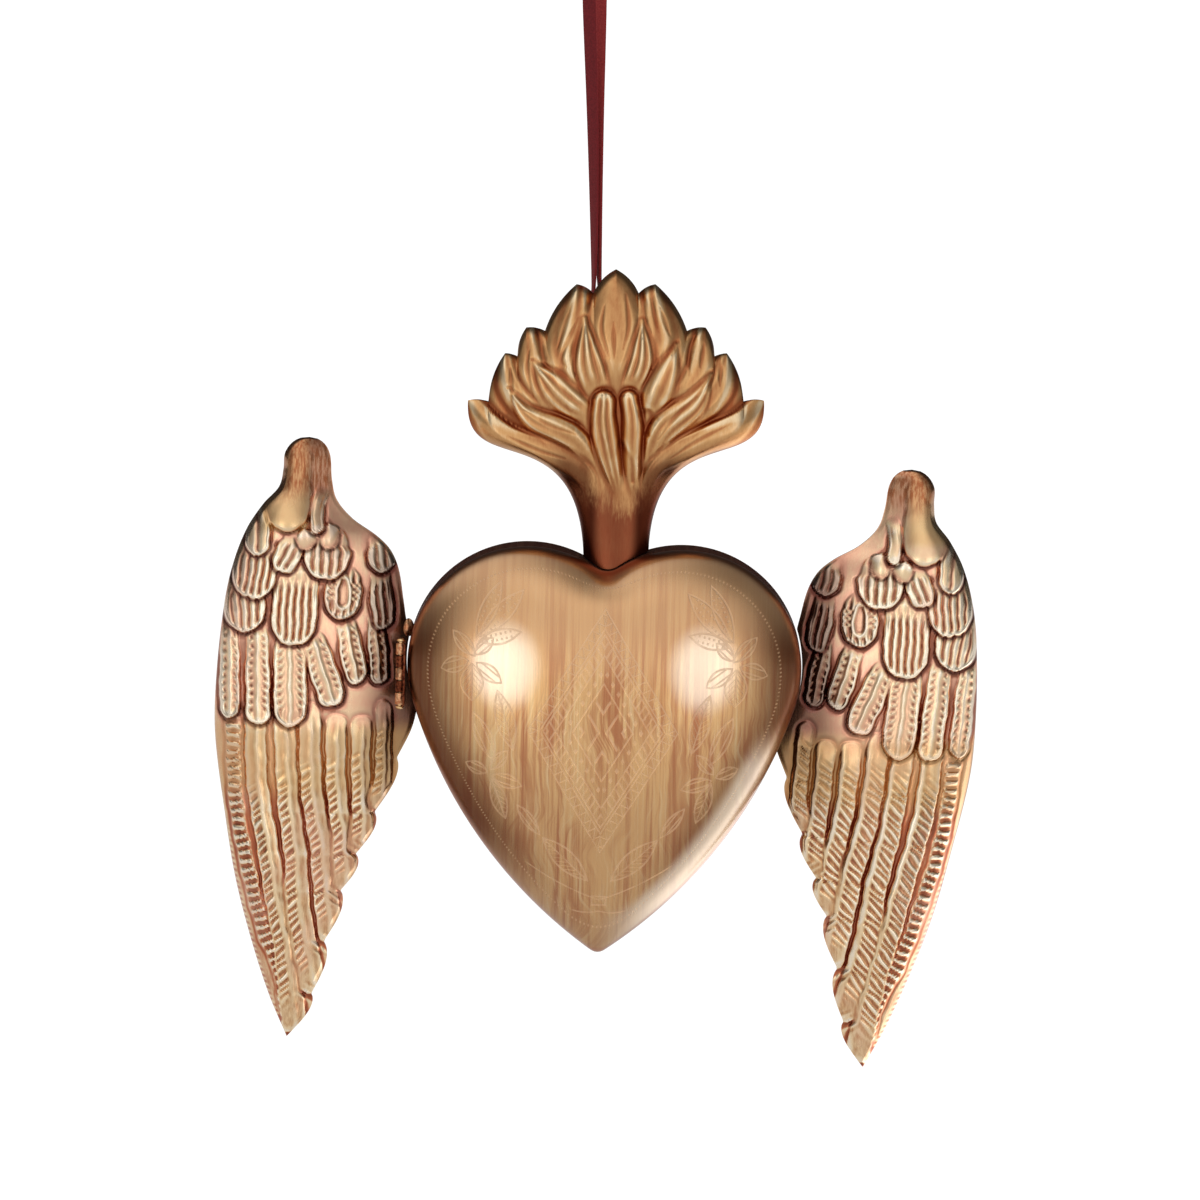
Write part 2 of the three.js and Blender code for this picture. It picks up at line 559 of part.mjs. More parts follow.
// The wing is arched across, highest towards its outer edge, so that the open lid can lie over it.
function wingArch(share, width) {
  if (share <= 0 || share >= 1) return 0;
  return Math.sin(Math.PI * share ** 0.6) ** 1.1 * Math.min(width / WING_FULL_WIDTH, 1);
}

// A place on the wing, so far in front of its sheet. Places past an edge are drawn back inside it.
function onWing(x, z, rise, setback = FEATHER_SETBACK) {
  const [outer, inner] = [outerEdge(z) - setback, innerEdge(z) + setback];
  const kept = Math.max(Math.min(x, outer), Math.min(inner, outer));
  const width = outerEdge(z) - innerEdge(z);
  const share = width > 0 ? (outerEdge(z) - kept) / width : 0;
  const fade = Math.min(Math.min(share, 1 - share) * (width / FEATHER_FADE), 1);
  const front = WING_EDGE_Y - wingArch(share, width) * WING_BELLY;
  return [kept, front - (rise > 0 ? rise * fade : rise), z];
}

// A stamped feather: a low bar with a rounded root and end, swept down its centre line.
function feather(line, half, rootRise, endRise) {
  const last = line.length - 1;
  const stations = [];
  line.forEach(([x, z], n) => {
    const [before, after] = [line[Math.max(n - 1, 0)], line[Math.min(n + 1, last)]];
    const run = Math.hypot(after[0] - before[0], after[1] - before[1]);
    const ahead = [(after[0] - before[0]) / run, (after[1] - before[1]) / run];
    const at = (past) => stations.push({
      x: x + ahead[0] * past * half, z: z + ahead[1] * past * half, ahead,
      half: half * Math.sqrt(1 - past ** 2), along: n / last,
    });
    if (n === 0) at(-0.8);
    at(0);
    if (n === last) [0.6, 0.95].forEach(at);
  });
  const middle = half > CROWNED_FROM ? [0] : [];
  const columns = [-1, -FEATHER_LIP, ...middle, FEATHER_LIP, 1];
  const point = (i, j, top) => {
    const { x, z, ahead, half: reach, along } = stations[j];
    const crown = columns[i] === 0 ? CROWN_RISE : 0;
    const height = rootRise + (endRise - rootRise) * along + crown;
    const across = columns[i] * reach;
    const raised = top && Math.abs(columns[i]) < 1;
    return onWing(x - ahead[1] * across, z + ahead[0] * across, raised ? height : -FEATHER_ROOTING);
  };
  return plate(columns.length - 1, stations.length - 1, (i, j) => point(i, j, true), (i, j) => point(i, j, false));
}

// The die's shape before it is mirrored and placed, built about the heart's side.
function stampedWing() {
  const rows = wingRows();
  const sheet = (behind) => (i, j) => {
    const width = outerEdge(rows[j]) - innerEdge(rows[j]);
    return onWing(outerEdge(rows[j]) - width * WING_SHARES[i], rows[j], -behind, 0);
  };
  const solids = [toSolid(plate(WING_SHARES.length - 1, rows.length - 1, sheet(0), sheet(SHEET)))];
  LONG_FEATHERS.forEach((line, n) => {
    solids.push(toSolid(feather(line, LONG_HALF_WIDTHS[n], LONG_RISE, LONG_RISE)));
  });
  SHORT_FEATHERS.forEach((line, n) => {
    solids.push(toSolid(feather(line, SHORT_HALF_WIDTHS[n], SHORT_ROOT_RISE, SHORT_END_RISE)));
  });
  return largestShell(wasm.Manifold.union(solids).simplify(WING_SIMPLIFY));
}

const wingDie = stampedWing();

function wing({ side, outward, lift, turn }) {
  const [c, s] = [Math.cos(turn * RAD), Math.sin(turn * RAD)];
  const placed = wingDie.warp((point) => {
    const [x, up] = [point[0], point[2] - WING_PIVOT];
    point[0] = side * (HEART_HALF_WIDTH + outward + x * c - up * s);
    point[2] = WING_PIVOT + lift + x * s + up * c;
  });
  return copedToHeart(closedGeometry(cornersOf(toGeometry(placed))));
}

// Hanging staple: a wire bent to a square U whose two feet stand on the back of the flame

// Depth of the flame at a place on its face, found by closing in on the fibre that passes there.
function flameDepthAt(x, z) {
  let [share, climb] = [0, 0.5];
  for (let n = 0; n < 40; n += 1) {
    const [px, pz] = fibrePoint(share, climb);
    share = Math.min(Math.max(share + (x - px) / 60, -0.95), 0.95);
    climb = Math.min(Math.max(climb + (z - pz) / 90, 0.05), 0.95);
  }
  return flameDepth(share, climb, false);
}

const LOW_FOOT = STAPLE_HEIGHT - STAPLE_SPAN;
const TOP_FOOT_Y = flameDepthAt(STAPLE_SIDEWAYS, STAPLE_HEIGHT) + SOLDER;
const LOW_FOOT_Y = flameDepthAt(STAPLE_SIDEWAYS, LOW_FOOT) + SOLDER;
const STAPLE_BACK = Math.max(TOP_FOOT_Y, LOW_FOOT_Y) + STAPLE_REACH;

function ring(radius, sides) {
  const shape = new THREE.Shape();
  for (let n = 0; n < sides; n += 1) {
    const turn = (2 * Math.PI * n) / sides;
    if (n === 0) shape.moveTo(radius, 0);
    else shape.lineTo(radius * Math.cos(turn), radius * Math.sin(turn));
  }
  shape.closePath();
  return shape;
}

function hangingStaple() {
  const at = (y, z) => new THREE.Vector3(STAPLE_SIDEWAYS, y, z);
  const path = new THREE.CurvePath();
  const [back, bend, top, low] = [STAPLE_BACK, STAPLE_BEND, STAPLE_HEIGHT, LOW_FOOT];
  path.add(new THREE.LineCurve3(at(TOP_FOOT_Y, top), at(back - bend, top)));
  path.add(new THREE.QuadraticBezierCurve3(at(back - bend, top), at(back, top), at(back, top - bend)));
  path.add(new THREE.LineCurve3(at(back, top - bend), at(back, low + bend)));
  path.add(new THREE.QuadraticBezierCurve3(at(back, low + bend), at(back, low), at(back - bend, low)));
  path.add(new THREE.LineCurve3(at(back - bend, low), at(LOW_FOOT_Y, low)));
  return new THREE.ExtrudeGeometry(ring(WIRE_RADIUS, 8), { steps: 18, bevelEnabled: false, extrudePath: path });
}

// Ribbon: one flat band, threaded under the staple's top leg and closed over the hook

const RIBBON_FOLD = WIRE_RADIUS + RIBBON_PLAY + RIBBON_THICKNESS / 2;
const RIBBON_Y = STAPLE_BACK - WIRE_RADIUS - RIBBON_PLAY - RIBBON_WIDTH / 2;

// Middle line of the ribbon, laid flat: sideways from the middle of the loop, and height above the leg.
function ribbonLine() {
  const right = RIBBON_STRAND.map(([x, z]) => [Math.max(x, RIBBON_FOLD), z]);
  const left = right.map(([x, z]) => [-x, z]).reverse();
  const fold = [-150, -120, -90, -60, -30].map((degrees) => [
    RIBBON_FOLD * Math.cos(degrees * RAD), RIBBON_FOLD * Math.sin(degrees * RAD),
  ]);
  return [...fold, [RIBBON_FOLD, 0.3], ...right, [0, RIBBON_TOP], ...left, [-RIBBON_FOLD, 0.3]];
}

// The two strands turn about each other on their way up, so that the loop lies over a hook that
// points sideways, and the ribbon shows its face to the front there.
function ribbon() {
  const line = ribbonLine();
  const flat = [];
  for (let n = 0; n < 8; n += 1) {
    const turn = ((n + 0.5) * Math.PI) / 4;
    flat.push([Math.cos(turn), Math.sin(turn)]);
  }
  const stretch = 1 / flat[0][0];
  return hoop(line.length, flat.length, (i, k) => {
    const before = line[(i + line.length - 1) % line.length];
    const after = line[(i + 1) % line.length];
    const run = Math.hypot(after[0] - before[0], after[1] - before[1]);
    const thick = (flat[k][1] * stretch * RIBBON_THICKNESS) / 2 / run;
    const wide = (flat[k][0] * stretch * RIBBON_WIDTH) / 2;
    const sideways = line[i][0] + thick * (after[1] - before[1]);
    const z = line[i][1] - thick * (after[0] - before[0]);
    const turned = RIBBON_TURN * RAD * Math.max(line[i][1] / RIBBON_TOP, 0);
    const [c, s] = [Math.cos(turned), Math.sin(turned)];
    return [sideways * c - wide * s - z * Math.tan(RIBBON_LEAN * RAD), sideways * s + wide * c, z];
  });
}

// Finishes, as the photograph shows them

const gold = { color: 0xa9824f, roughness: 0.36, metalness: 1 };
const bronze = { color: 0x7d5636, roughness: 0.45, metalness: 1 };
const copper = { color: 0xa8663f, roughness: 0.32, metalness: 1 };
const darkRed = { color: 0x6e1a1e, roughness: 0.8, metalness: 0 };

function piece(name, geometry, finish) {
  geometry.computeVertexNormals();
  const mesh = new THREE.Mesh(geometry, new THREE.MeshStandardMaterial(finish));
  mesh.name = name;
  return mesh;
}

// Assembly

const box = new THREE.Group();
box.add(piece('box_wall', boxWall(), bronze));
box.add(piece('box_dish', dome(DISH_RISE, 1, WALL_DEPTH), gold));
box.add(piece('flame_front', copedToHeart(onHeart(flameHalf(-1))), gold));
box.add(piece('flame_back', copedToHeart(onHeart(flameHalf(1))), gold));
box.add(piece('wing_left', wing(LEFT_WING), copper));
box.add(piece('wing_right', wing(RIGHT_WING), copper));
box.add(piece('hinge_leaf_box', hingeLeaf(0, BOX_LEAF_WIDTH, 1), copper));
box.add(piece('hinge_pin', hingePin(), gold));
box.add(piece('hanging_staple', onHeart(hangingStaple()), gold));

const lid = new THREE.Group();
lid.add(piece('lid_dome', dome(LID_RISE, -1, -SEAM), gold));
lid.add(piece('lid_band', lidBand(), bronze));
lid.add(piece('hinge_leaf_lid', hingeLeaf(1, LID_LEAF_WIDTH, -1), copper));

// The ribbon hangs plumb from the hook, so it is placed by the staple's leg but doesn't lean with it.
const leg = new THREE.Vector3(STAPLE_SIDEWAYS, RIBBON_Y, STAPLE_HEIGHT);
leg.applyAxisAngle(new THREE.Vector3(0, 1, 0), -FLAME_LEAN * RAD);
leg.add(new THREE.Vector3(FLAME_SIDEWAYS, WALL_DEPTH / 2, FLAME_FOOT));
const loop = piece('ribbon_loop', ribbon(), darkRed);
loop.position.copy(leg);
const hook = new THREE.Vector3(
  leg.x - RIBBON_TOP * Math.tan(RIBBON_LEAN * RAD), leg.y, leg.z + RIBBON_TOP - RIBBON_THICKNESS / 2,
);

const group = new THREE.Group();
group.add(box, lid, loop);
group.position.copy(hook).negate();
const ornament = new THREE.Group();
ornament.add(group);

export default ornament;
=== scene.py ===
# %% [markdown]
# # A winged brass heart
# A folk ornament of thin stamped brass: a heart-shaped box whose domed front is a lid on a small
# side hinge, a hollow flame in its notch, a stamped wing on each side, and a dark red ribbon.
# The frame holds every solid at its real size. Each cell here dresses one of them with a finer
# surface that follows the same formula, and with the finish of worked, darkened brass.

# %% Load the frame
import math

import bpy
import numpy as np
from mathutils import Matrix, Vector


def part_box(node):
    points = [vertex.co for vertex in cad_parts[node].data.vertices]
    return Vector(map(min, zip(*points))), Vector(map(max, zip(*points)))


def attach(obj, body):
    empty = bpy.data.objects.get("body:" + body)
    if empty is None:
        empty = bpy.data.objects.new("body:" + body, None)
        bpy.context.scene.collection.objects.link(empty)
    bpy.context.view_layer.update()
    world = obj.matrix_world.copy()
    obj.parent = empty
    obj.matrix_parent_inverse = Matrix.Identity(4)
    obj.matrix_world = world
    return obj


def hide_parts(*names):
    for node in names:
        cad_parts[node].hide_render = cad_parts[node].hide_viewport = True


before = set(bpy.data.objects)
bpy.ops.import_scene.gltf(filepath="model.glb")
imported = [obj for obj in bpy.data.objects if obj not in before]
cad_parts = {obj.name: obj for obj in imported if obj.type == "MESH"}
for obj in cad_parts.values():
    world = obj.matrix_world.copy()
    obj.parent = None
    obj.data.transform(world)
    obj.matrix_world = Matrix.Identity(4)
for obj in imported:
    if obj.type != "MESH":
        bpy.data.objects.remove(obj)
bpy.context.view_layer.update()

MM = 0.001
print("pieces in the frame:", sorted(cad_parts))

# %% [markdown]
# Everything on the ornament is measured from the heart's own centre, in the plane of the seam
# between lid and box. The box wall tells where that is: its middle, its front edge, and its
# lobes, which stand a known height above the centre.

# %% The heart's centre
LOBE_TOP = 34.4
wall_low, wall_high = (np.array(corner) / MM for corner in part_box("box_wall"))
HEART_CENTRE = np.array([(wall_low[0] + wall_high[0]) / 2, wall_low[1], wall_high[2] - LOBE_TOP])
print("heart's centre, mm:", HEART_CENTRE.round(3))

# %% [markdown]
# The camera stands about two metres away with a long lens, a little above the heart and turned by
# a degree and a half, for the view of the photograph. The width of the view at the ornament sets
# the focal length.

# %% Camera
VIEW_WIDTH = 265.2
CAMERA_DISTANCE = 2000.0
CAMERA_ELEVATION = math.radians(7.0)
CAMERA_ROLL = math.radians(1.44)
CAMERA_AIM = HEART_CENTRE + (-1.33, 0.0, 22.8)
SENSOR_WIDTH = 36.0

camera_data = bpy.data.cameras.new("camera")
camera_data.sensor_width = SENSOR_WIDTH
camera_data.lens = SENSOR_WIDTH * CAMERA_DISTANCE / VIEW_WIDTH
camera_data.clip_end = 100
camera = bpy.data.objects.new("camera", camera_data)
bpy.context.scene.collection.objects.link(camera)
back = np.array([0, -math.cos(CAMERA_ELEVATION), math.sin(CAMERA_ELEVATION)])
level_up = np.array([0, math.sin(CAMERA_ELEVATION), math.cos(CAMERA_ELEVATION)])
level_right = np.array([1.0, 0, 0])
right = level_right * math.cos(CAMERA_ROLL) + level_up * math.sin(CAMERA_ROLL)
upright = level_up * math.cos(CAMERA_ROLL) - level_right * math.sin(CAMERA_ROLL)
camera.matrix_world = (
    Matrix.Translation((CAMERA_AIM + back * CAMERA_DISTANCE) * MM)
    @ Matrix((right, upright, back)).transposed().to_4x4()
)
bpy.context.scene.camera = camera
print("focal length, mm:", round(camera_data.lens, 1))

# %% [markdown]
# A piece here is a grid of points worked out by numpy, so it needs only a few helpers: one that
# numbers a grid's triangles, one that closes a sheet between its front and its coarser back, and
# one that welds the points and hands them to Blender. Welding closes the poles and seams where
# a row of points falls on one spot, and the sign of the volume tells which way the faces look.

# %% Grids and closed shells
def grid_triangles(index):
    """Two triangles for each cell of a grid of point numbers."""
    a, b, c, d = index[:-1, :-1], index[1:, :-1], index[1:, 1:], index[:-1, 1:]
    return np.concatenate([np.stack(t, -1).reshape(-1, 3) for t in ((a, b, c), (a, c, d))])


def perimeter(index):
    """The point numbers round the edge of a grid, as one loop."""
    return np.concatenate([index[:, 0], index[-1, 1:], index[-2::-1, -1], index[0, -2:0:-1]])


def stitch(fine, coarse):
    """Triangles between two loops of points, the first with two points for each of the other."""
    f0, f1, f2 = fine[0::2], fine[1::2], np.roll(fine[0::2], -1)
    b0, b1 = coarse, np.roll(coarse, -1)
    return np.concatenate([np.stack(t, -1) for t in ((f0, b0, f1), (f1, b0, b1), (f1, b1, f2))])


def sheet_shell(front, rear, wrap=False):
    """A closed thin sheet: a fine front grid, a rear grid with half as many steps, and its rims.

    With wrap, the grids close on themselves across, as round a dome."""
    fine = np.arange(front.shape[0] * front.shape[1]).reshape(front.shape[:2])
    coarse = fine.size + np.arange(rear.shape[0] * rear.shape[1]).reshape(rear.shape[:2])
    points = np.concatenate([front.reshape(-1, 3), rear.reshape(-1, 3)])
    if wrap:
        rims = [stitch(fine[:, 0], coarse[:, 0])]
        rims.append(stitch(np.roll(fine[::-1, -1], 1), np.roll(coarse[::-1, -1], 1)))
        fine, coarse = (np.concatenate([grid, grid[:1]]) for grid in (fine, coarse))
    else:
        rims = [stitch(perimeter(fine), perimeter(coarse))]
    faces = [grid_triangles(fine), grid_triangles(coarse)[:, ::-1], *rims]
    return points, np.concatenate(faces)


def closed_tube(points):
    """A grid that closes on itself both ways, as a section carried round a loop."""
    index = np.arange(points.shape[0] * points.shape[1]).reshape(points.shape[:2])
    index = np.concatenate([index, index[:1]])
    index = np.concatenate([index, index[:, :1]], axis=1)
    return points.reshape(-1, 3), grid_triangles(index)


def capped(points):
    """A grid that closes on itself across and shrinks to a pole at both of its ends."""
    index = np.arange(points.shape[0] * points.shape[1]).reshape(points.shape[:2])
    return points.reshape(-1, 3), grid_triangles(np.concatenate([index, index[:1]]))


def joined(*shells):
    """Several closed shells as one list of points and one of triangles."""
    points, triangles, count = [], [], 0
    for some_points, some_triangles in shells:
        points.append(some_points)
        triangles.append(some_triangles + count)
        count += len(some_points)
    return np.concatenate(points), np.concatenate(triangles)


def ease(low, high, value):
    """0 below low and 1 above high, smoothly between; low may be the larger."""
    share = np.clip((value - low) / (high - low), 0, 1)
    return share * share * (3 - 2 * share)


WELD_DISTANCE = 1e-4
CREASE = math.radians(48)


def add_piece(name, body, slot, finish, shell, **attributes):
    """Welds a shell given in millimetres from the heart's centre, and adds it as a piece."""
    points, triangles = shell
    keys = np.round(points / WELD_DISTANCE).astype(np.int64)
    _, first, place = np.unique(keys, axis=0, return_index=True, return_inverse=True)
    place = place.reshape(-1)
    points, triangles = points[first], place[triangles]
    a, b, c = triangles.T
    triangles = triangles[(a != b) & (b != c) & (c != a)]
    corners = points[triangles]
    volume = np.einsum("ij,ij->i", corners[:, 0], np.cross(corners[:, 1], corners[:, 2])).sum() / 6
    if volume < 0:
        triangles = triangles[:, ::-1]
    mesh = bpy.data.meshes.new(name)
    mesh.vertices.add(len(points))
    mesh.vertices.foreach_set("co", ((points + HEART_CENTRE) * MM).astype(np.float32).ravel())
    mesh.loops.add(triangles.size)
    mesh.loops.foreach_set("vertex_index", triangles.ravel().astype(np.int32))
    mesh.polygons.add(len(triangles))
    mesh.polygons.foreach_set("loop_start", np.arange(0, triangles.size, 3, dtype=np.int32))
    mesh.polygons.foreach_set("use_smooth", np.ones(len(triangles), dtype=bool))
    for key, values in attributes.items():
        attribute = mesh.attributes.new(key, "FLOAT", "POINT")
        attribute.data.foreach_set("value", values.ravel()[first].astype(np.float32))
    mesh.update(calc_edges=True)
    mesh.validate()
    mesh.set_sharp_from_angle(angle=CREASE)
    mesh.materials.append(finish)
    piece = bpy.data.objects.new(name, mesh)
    bpy.context.scene.collection.objects.link(piece)
    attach(piece, body)
    print(name, len(triangles), "triangles, volume", round(abs(volume)), "mm3")
    return piece


# %% [markdown]
# A finish is a tree of shader nodes, and a tree is easiest to read as arithmetic. So a small class
# wraps a socket and turns +, -, * and / into Math nodes, and every other node comes from one
# method. Colours are written as they look on a screen and are changed to linear light once.

# %% Shader arithmetic
def tone(code):
    """A colour written as it looks on a screen, in linear light."""
    levels = [int(code[n:n + 2], 16) / 255 for n in (0, 2, 4)]
    linear = [v / 12.92 if v <= 0.04045 else ((v + 0.055) / 1.055) ** 2.4 for v in levels]
    return (*linear, 1.0)


class Value:
    """A number that varies over the surface: a node's output, with arithmetic."""

    def __init__(self, finish, socket):
        self.finish = finish
        self.socket = socket

    def math(self, operation, *others):
        return self.finish.node("ShaderNodeMath", {"operation": operation}, [self, *others])

    def __add__(self, other):
        return self.math("ADD", other)

    __radd__ = __add__

    def __mul__(self, other):
        return self.math("MULTIPLY", other)

    __rmul__ = __mul__

    def __sub__(self, other):
        return self.math("SUBTRACT", other)

    def __rsub__(self, other):
        return (self * -1) + other

    def __truediv__(self, other):
        return self.math("DIVIDE", other)

    def __abs__(self):
        return self.math("ABSOLUTE")

    def between(self, low, high):
        """0 at low and 1 at high, smoothly; low may be the larger."""
        settings = {"interpolation_type": "SMOOTHSTEP"}
        values = {"Value": self, "From Min": low, "From Max": high}
        return self.finish.node("ShaderNodeMapRange", settings, values)

    def line(self, half_width, blur):
        """1 where the value is near 0, and 0 past the half width."""
        return abs(self).between(half_width + blur, half_width)


class Finish:
    """A material and the nodes that paint it."""

    def __init__(self, name, **constants):
        self.material = bpy.data.materials.new(name)
        self.material.use_nodes = True
        self.tree = self.material.node_tree
        self.shader = self.tree.nodes["Principled BSDF"]
        self.set(**constants)

    def set(self, **values):
        """Sets or links sockets of the surface shader, named with _ for a space."""
        sockets = {socket.name.lower().replace(" ", "_"): socket for socket in self.shader.inputs}
        for key, value in values.items():
            self.connect(sockets[key], value)

    def connect(self, socket, value):
        """Links a varying value, or writes a constant; a string is the code of a colour."""
        if isinstance(value, Value):
            self.tree.links.new(value.socket, socket)
        else:
            socket.default_value = tone(value) if isinstance(value, str) else value

    def node(self, kind, settings=None, values=(), output=0):
        """Adds a node: its settings first, then its sockets, by place or by name."""
        made = self.tree.nodes.new(kind)
        for key, value in (settings or {}).items():
            setattr(made, key, value)
        named = values.items() if isinstance(values, dict) else enumerate(values)
        for key, value in named:
            self.connect(made.inputs[key], value)
        return Value(self, made.outputs[output])

    def attribute(self, name):
        return self.node("ShaderNodeAttribute", {"attribute_name": name}, output="Fac")

    def place(self):
        """Millimetres from the heart's centre, as a vector."""
        position = self.node("ShaderNodeTexCoord", output="Object")
        settings = {"operation": "SUBTRACT"}
        away = self.node("ShaderNodeVectorMath", settings, [position, HEART_CENTRE * MM])
        return self.node("ShaderNodeVectorMath", {"operation": "SCALE"}, {0: away, "Scale": 1 / MM})

    def parts(self, vector):
        split = self.node("ShaderNodeSeparateXYZ", values=[vector])
        outputs = split.socket.node.outputs
        return [Value(self, outputs[n]) for n in range(3)]

    def noise(self, vector, stretch, detail=3.0, rough=0.55):
        """Noise about 0.5, with the place first multiplied by stretch along each axis."""
        moved = self.node("ShaderNodeVectorMath", {"operation": "MULTIPLY"}, [vector, stretch])
        values = {"Vector": moved, "Scale": 1.0, "Detail": detail, "Roughness": rough}
        return self.node("ShaderNodeTexNoise", values=values)

    def mix(self, share, first, second):
        """first where share is 0 and second where it is 1, as colours."""
        settings = {"data_type": "RGBA", "clamp_factor": True}
        return self.node("ShaderNodeMix", settings, {0: share, 6: first, 7: second}, output=2)

    def bump(self, height, distance, strength=1.0):
        """A fine relief of so many millimetres, for what is too small for the mesh."""
        values = {"Height": height, "Distance": distance * MM, "Strength": strength}
        return self.node("ShaderNodeBump", values=values)

    def paint(self, colour, *coats):
        """Lays coats over a colour, one after another, each with its share and its colour."""
        for share, code in coats:
            colour = self.mix(share, colour, code)
        return colour


def highest(*values):
    """The largest of several values at each place, as for masks laid over each other."""
    most = values[0]
    for value in values[1:]:
        most = most.math("MAXIMUM", value)
    return most


# %% [markdown]
# The ribbon is one flat band of dark red velvet, threaded under the top leg of the staple behind
# the flame and closed in a loop. It is a soft piece of fixed length, so it is built first: its middle
# line is a list of given points, smoothed, and its two strands turn about each other on
# the way up so that the loop lies over a hook. It is carried along the line as a thin section.

# %% The ribbon's middle line
RIBBON_WIDTH = 3.2
RIBBON_THICKNESS = 0.6
RIBBON_FOLD = 1.05
RIBBON_TOP = 112.9
RIBBON_LEAN = math.radians(1.8)
RIBBON_TURN = math.radians(90)
RIBBON_TURN_POWER = 0.6
STAPLE_LEG = np.array([2.759, 0.0, -112.6])
RIBBON_STRAND = [
    [0.66, 4], [0.54, 12], [0.54, 21], [0.66, 30], [0.9, 39], [1.3, 48], [1.95, 57], [2.8, 66],
    [3.6, 75], [4.3, 83], [4.9, 90], [5.4, 96.5], [5.9, 102], [5.7, 106.5], [4.5, 110], [2.4, 112.2],
]
SMOOTHING = 6


def smooth_loop(points, steps):
    """A closed curve through the points: between two of them it is the cubic that leaves each one
    parallel to the line between its neighbours."""
    before, after, beyond = np.roll(points, 1, 0), np.roll(points, -1, 0), np.roll(points, -2, 0)
    f = np.arange(steps)[None, :, None] / steps
    p0, p1, p2, p3 = (p[:, None, :] for p in (before, points, after, beyond))
    squared, cubed = 2 * p0 - 5 * p1 + 4 * p2 - p3, 3 * (p1 - p2) + p3 - p0
    curve = p1 + 0.5 * f * (p2 - p0 + f * (squared + f * cubed))
    return curve.reshape(-1, points.shape[1])


strand = np.array(RIBBON_STRAND, float)
fold_angles = np.radians([-90, -60, -30])
fold = RIBBON_FOLD * np.stack([np.cos(fold_angles), np.sin(fold_angles)], 1)
foot = np.array([[RIBBON_FOLD, 0.3]])
half_loop = np.concatenate([fold, foot, strand])
other_half = half_loop[:0:-1] * (-1, 1)
flat_line = smooth_loop(np.concatenate([half_loop, [[0, RIBBON_TOP]], other_half]), SMOOTHING)


def hung(sideways, across, height):
    """Turns a place on the flat loop about its own middle, by 90 (height / top) ^ 0.6 degrees,
    leans it and carries it to the staple: the place in the row frame, in millimetres."""
    turn = RIBBON_TURN * (np.maximum(height, 0) / RIBBON_TOP) ** RIBBON_TURN_POWER
    x = sideways * np.cos(turn) - across * np.sin(turn) - height * math.tan(RIBBON_LEAN)
    return np.stack([x, sideways * np.sin(turn) + across * np.cos(turn), height], -1) + STAPLE_LEG


ribbon_path = hung(flat_line[:, 0], 0 * flat_line[:, 0], flat_line[:, 1])
ribbon_path = np.concatenate([ribbon_path, ribbon_path[:1]])
ribbon_length = np.linalg.norm(np.diff(ribbon_path, axis=0), axis=1).sum()
print("ribbon's middle line, mm:", round(ribbon_length, 1))

# %% Velvet, dark red
velvet = Finish("dark_red_velvet", specular_ior_level=0.2, sheen_weight=0.25, sheen_roughness=0.35,
                sheen_tint="D0605A")
outer_face = velvet.attribute("outer_face")
along = velvet.attribute("along")
across = velvet.attribute("across")
pile = velvet.noise(velvet.place(), (3, 3, 3), detail=4)
rib = (across * 22).math("SINE").between(-1, 1)
edge_fray = abs(across).between(0.42, 0.5)
# The band's two faces are lit and shaded copies of one velvet: the face where outer_face is above 0 is
# painted darker, as painted shade. Its edges darken where they fray.
shaded_face_colour = velvet.mix(pile.between(0.3, 0.7), "5E161A", "762024")
lit_face_colour = velvet.mix(pile.between(0.3, 0.7), "8A2A2C", "A03A38")
shade = velvet.paint(
    lit_face_colour, (outer_face.between(-0.2, 0.2), shaded_face_colour), (edge_fray * 0.6, "74161A"))
velvet.set(base_color=shade, roughness=pile * 0.2 + 0.65)
weave = (along * 9).math("SINE") * 0.5 + rib
velvet.set(normal=velvet.bump(weave + pile * 2, 0.05, 0.5))

# %% The ribbon's band
SECTION_CORNERS = 24
SECTION_SQUARENESS = 3.2    # 2 is an ellipse, more is squarer


def band_section(count):
    """Points round a flat section with rounded edges: a superellipse, as shares of its half width
    and half thickness."""
    turn = (np.arange(count) + 0.5) * 2 * math.pi / count
    power = 2 / SECTION_SQUARENESS
    return (np.sign(np.cos(turn)) * np.abs(np.cos(turn)) ** power,
            np.sign(np.sin(turn)) * np.abs(np.sin(turn)) ** power)


wide, thick = band_section(SECTION_CORNERS)
heading = np.roll(flat_line, -1, 0) - np.roll(flat_line, 1, 0)
heading /= np.linalg.norm(heading, axis=1, keepdims=True)
out_x, out_z = heading[:, 1:2], -heading[:, :1]
half_thick = RIBBON_THICKNESS / 2 * thick[None, :]
ribbon_points = hung(
    flat_line[:, :1] + out_x * half_thick,
    RIBBON_WIDTH / 2 * wide[None, :] + 0 * out_x,
    flat_line[:, 1:] + out_z * half_thick,
)
travel = np.linalg.norm(np.diff(ribbon_path, axis=0), axis=1).cumsum()
ribbon = add_piece(
    "velvet_ribbon", "box", "ribbon", velvet.material, closed_tube(ribbon_points - HEART_CENTRE),
    along=np.repeat(travel[:, None], SECTION_CORNERS, 1),
    across=np.repeat(wide[None, :] / 2, len(travel), 0),
    outer_face=np.repeat(thick[None, :], len(travel), 0),
)
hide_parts("ribbon_loop")

# %% [markdown]
# The heart's outline is made of arcs: a small fillet in the notch, a round lobe on each side and a
# long gentle flank down to the tip. Measured from the centre, the outline is a distance for each
# angle, and that is all that the box, the lid and their domes need. Averaging the distance over a
# spread of angles softens it, and a wide spread lets the notch fade out up a dome.

# %% Outline of the heart
HALF_WIDTH = 43.6
TIP_DROP = 56.4
LOBE_RADIUS = 26.5
FLANK_RADIUS = 106.0
NOTCH_RADIUS = 4.5
EDGE_SOFTENING = 1.5
LOBE_X = HALF_WIDTH - LOBE_RADIUS
LOBE_Z = LOBE_TOP - LOBE_RADIUS
NOTCH_Z = LOBE_Z + math.sqrt((LOBE_RADIUS + NOTCH_RADIUS) ** 2 - LOBE_X ** 2)


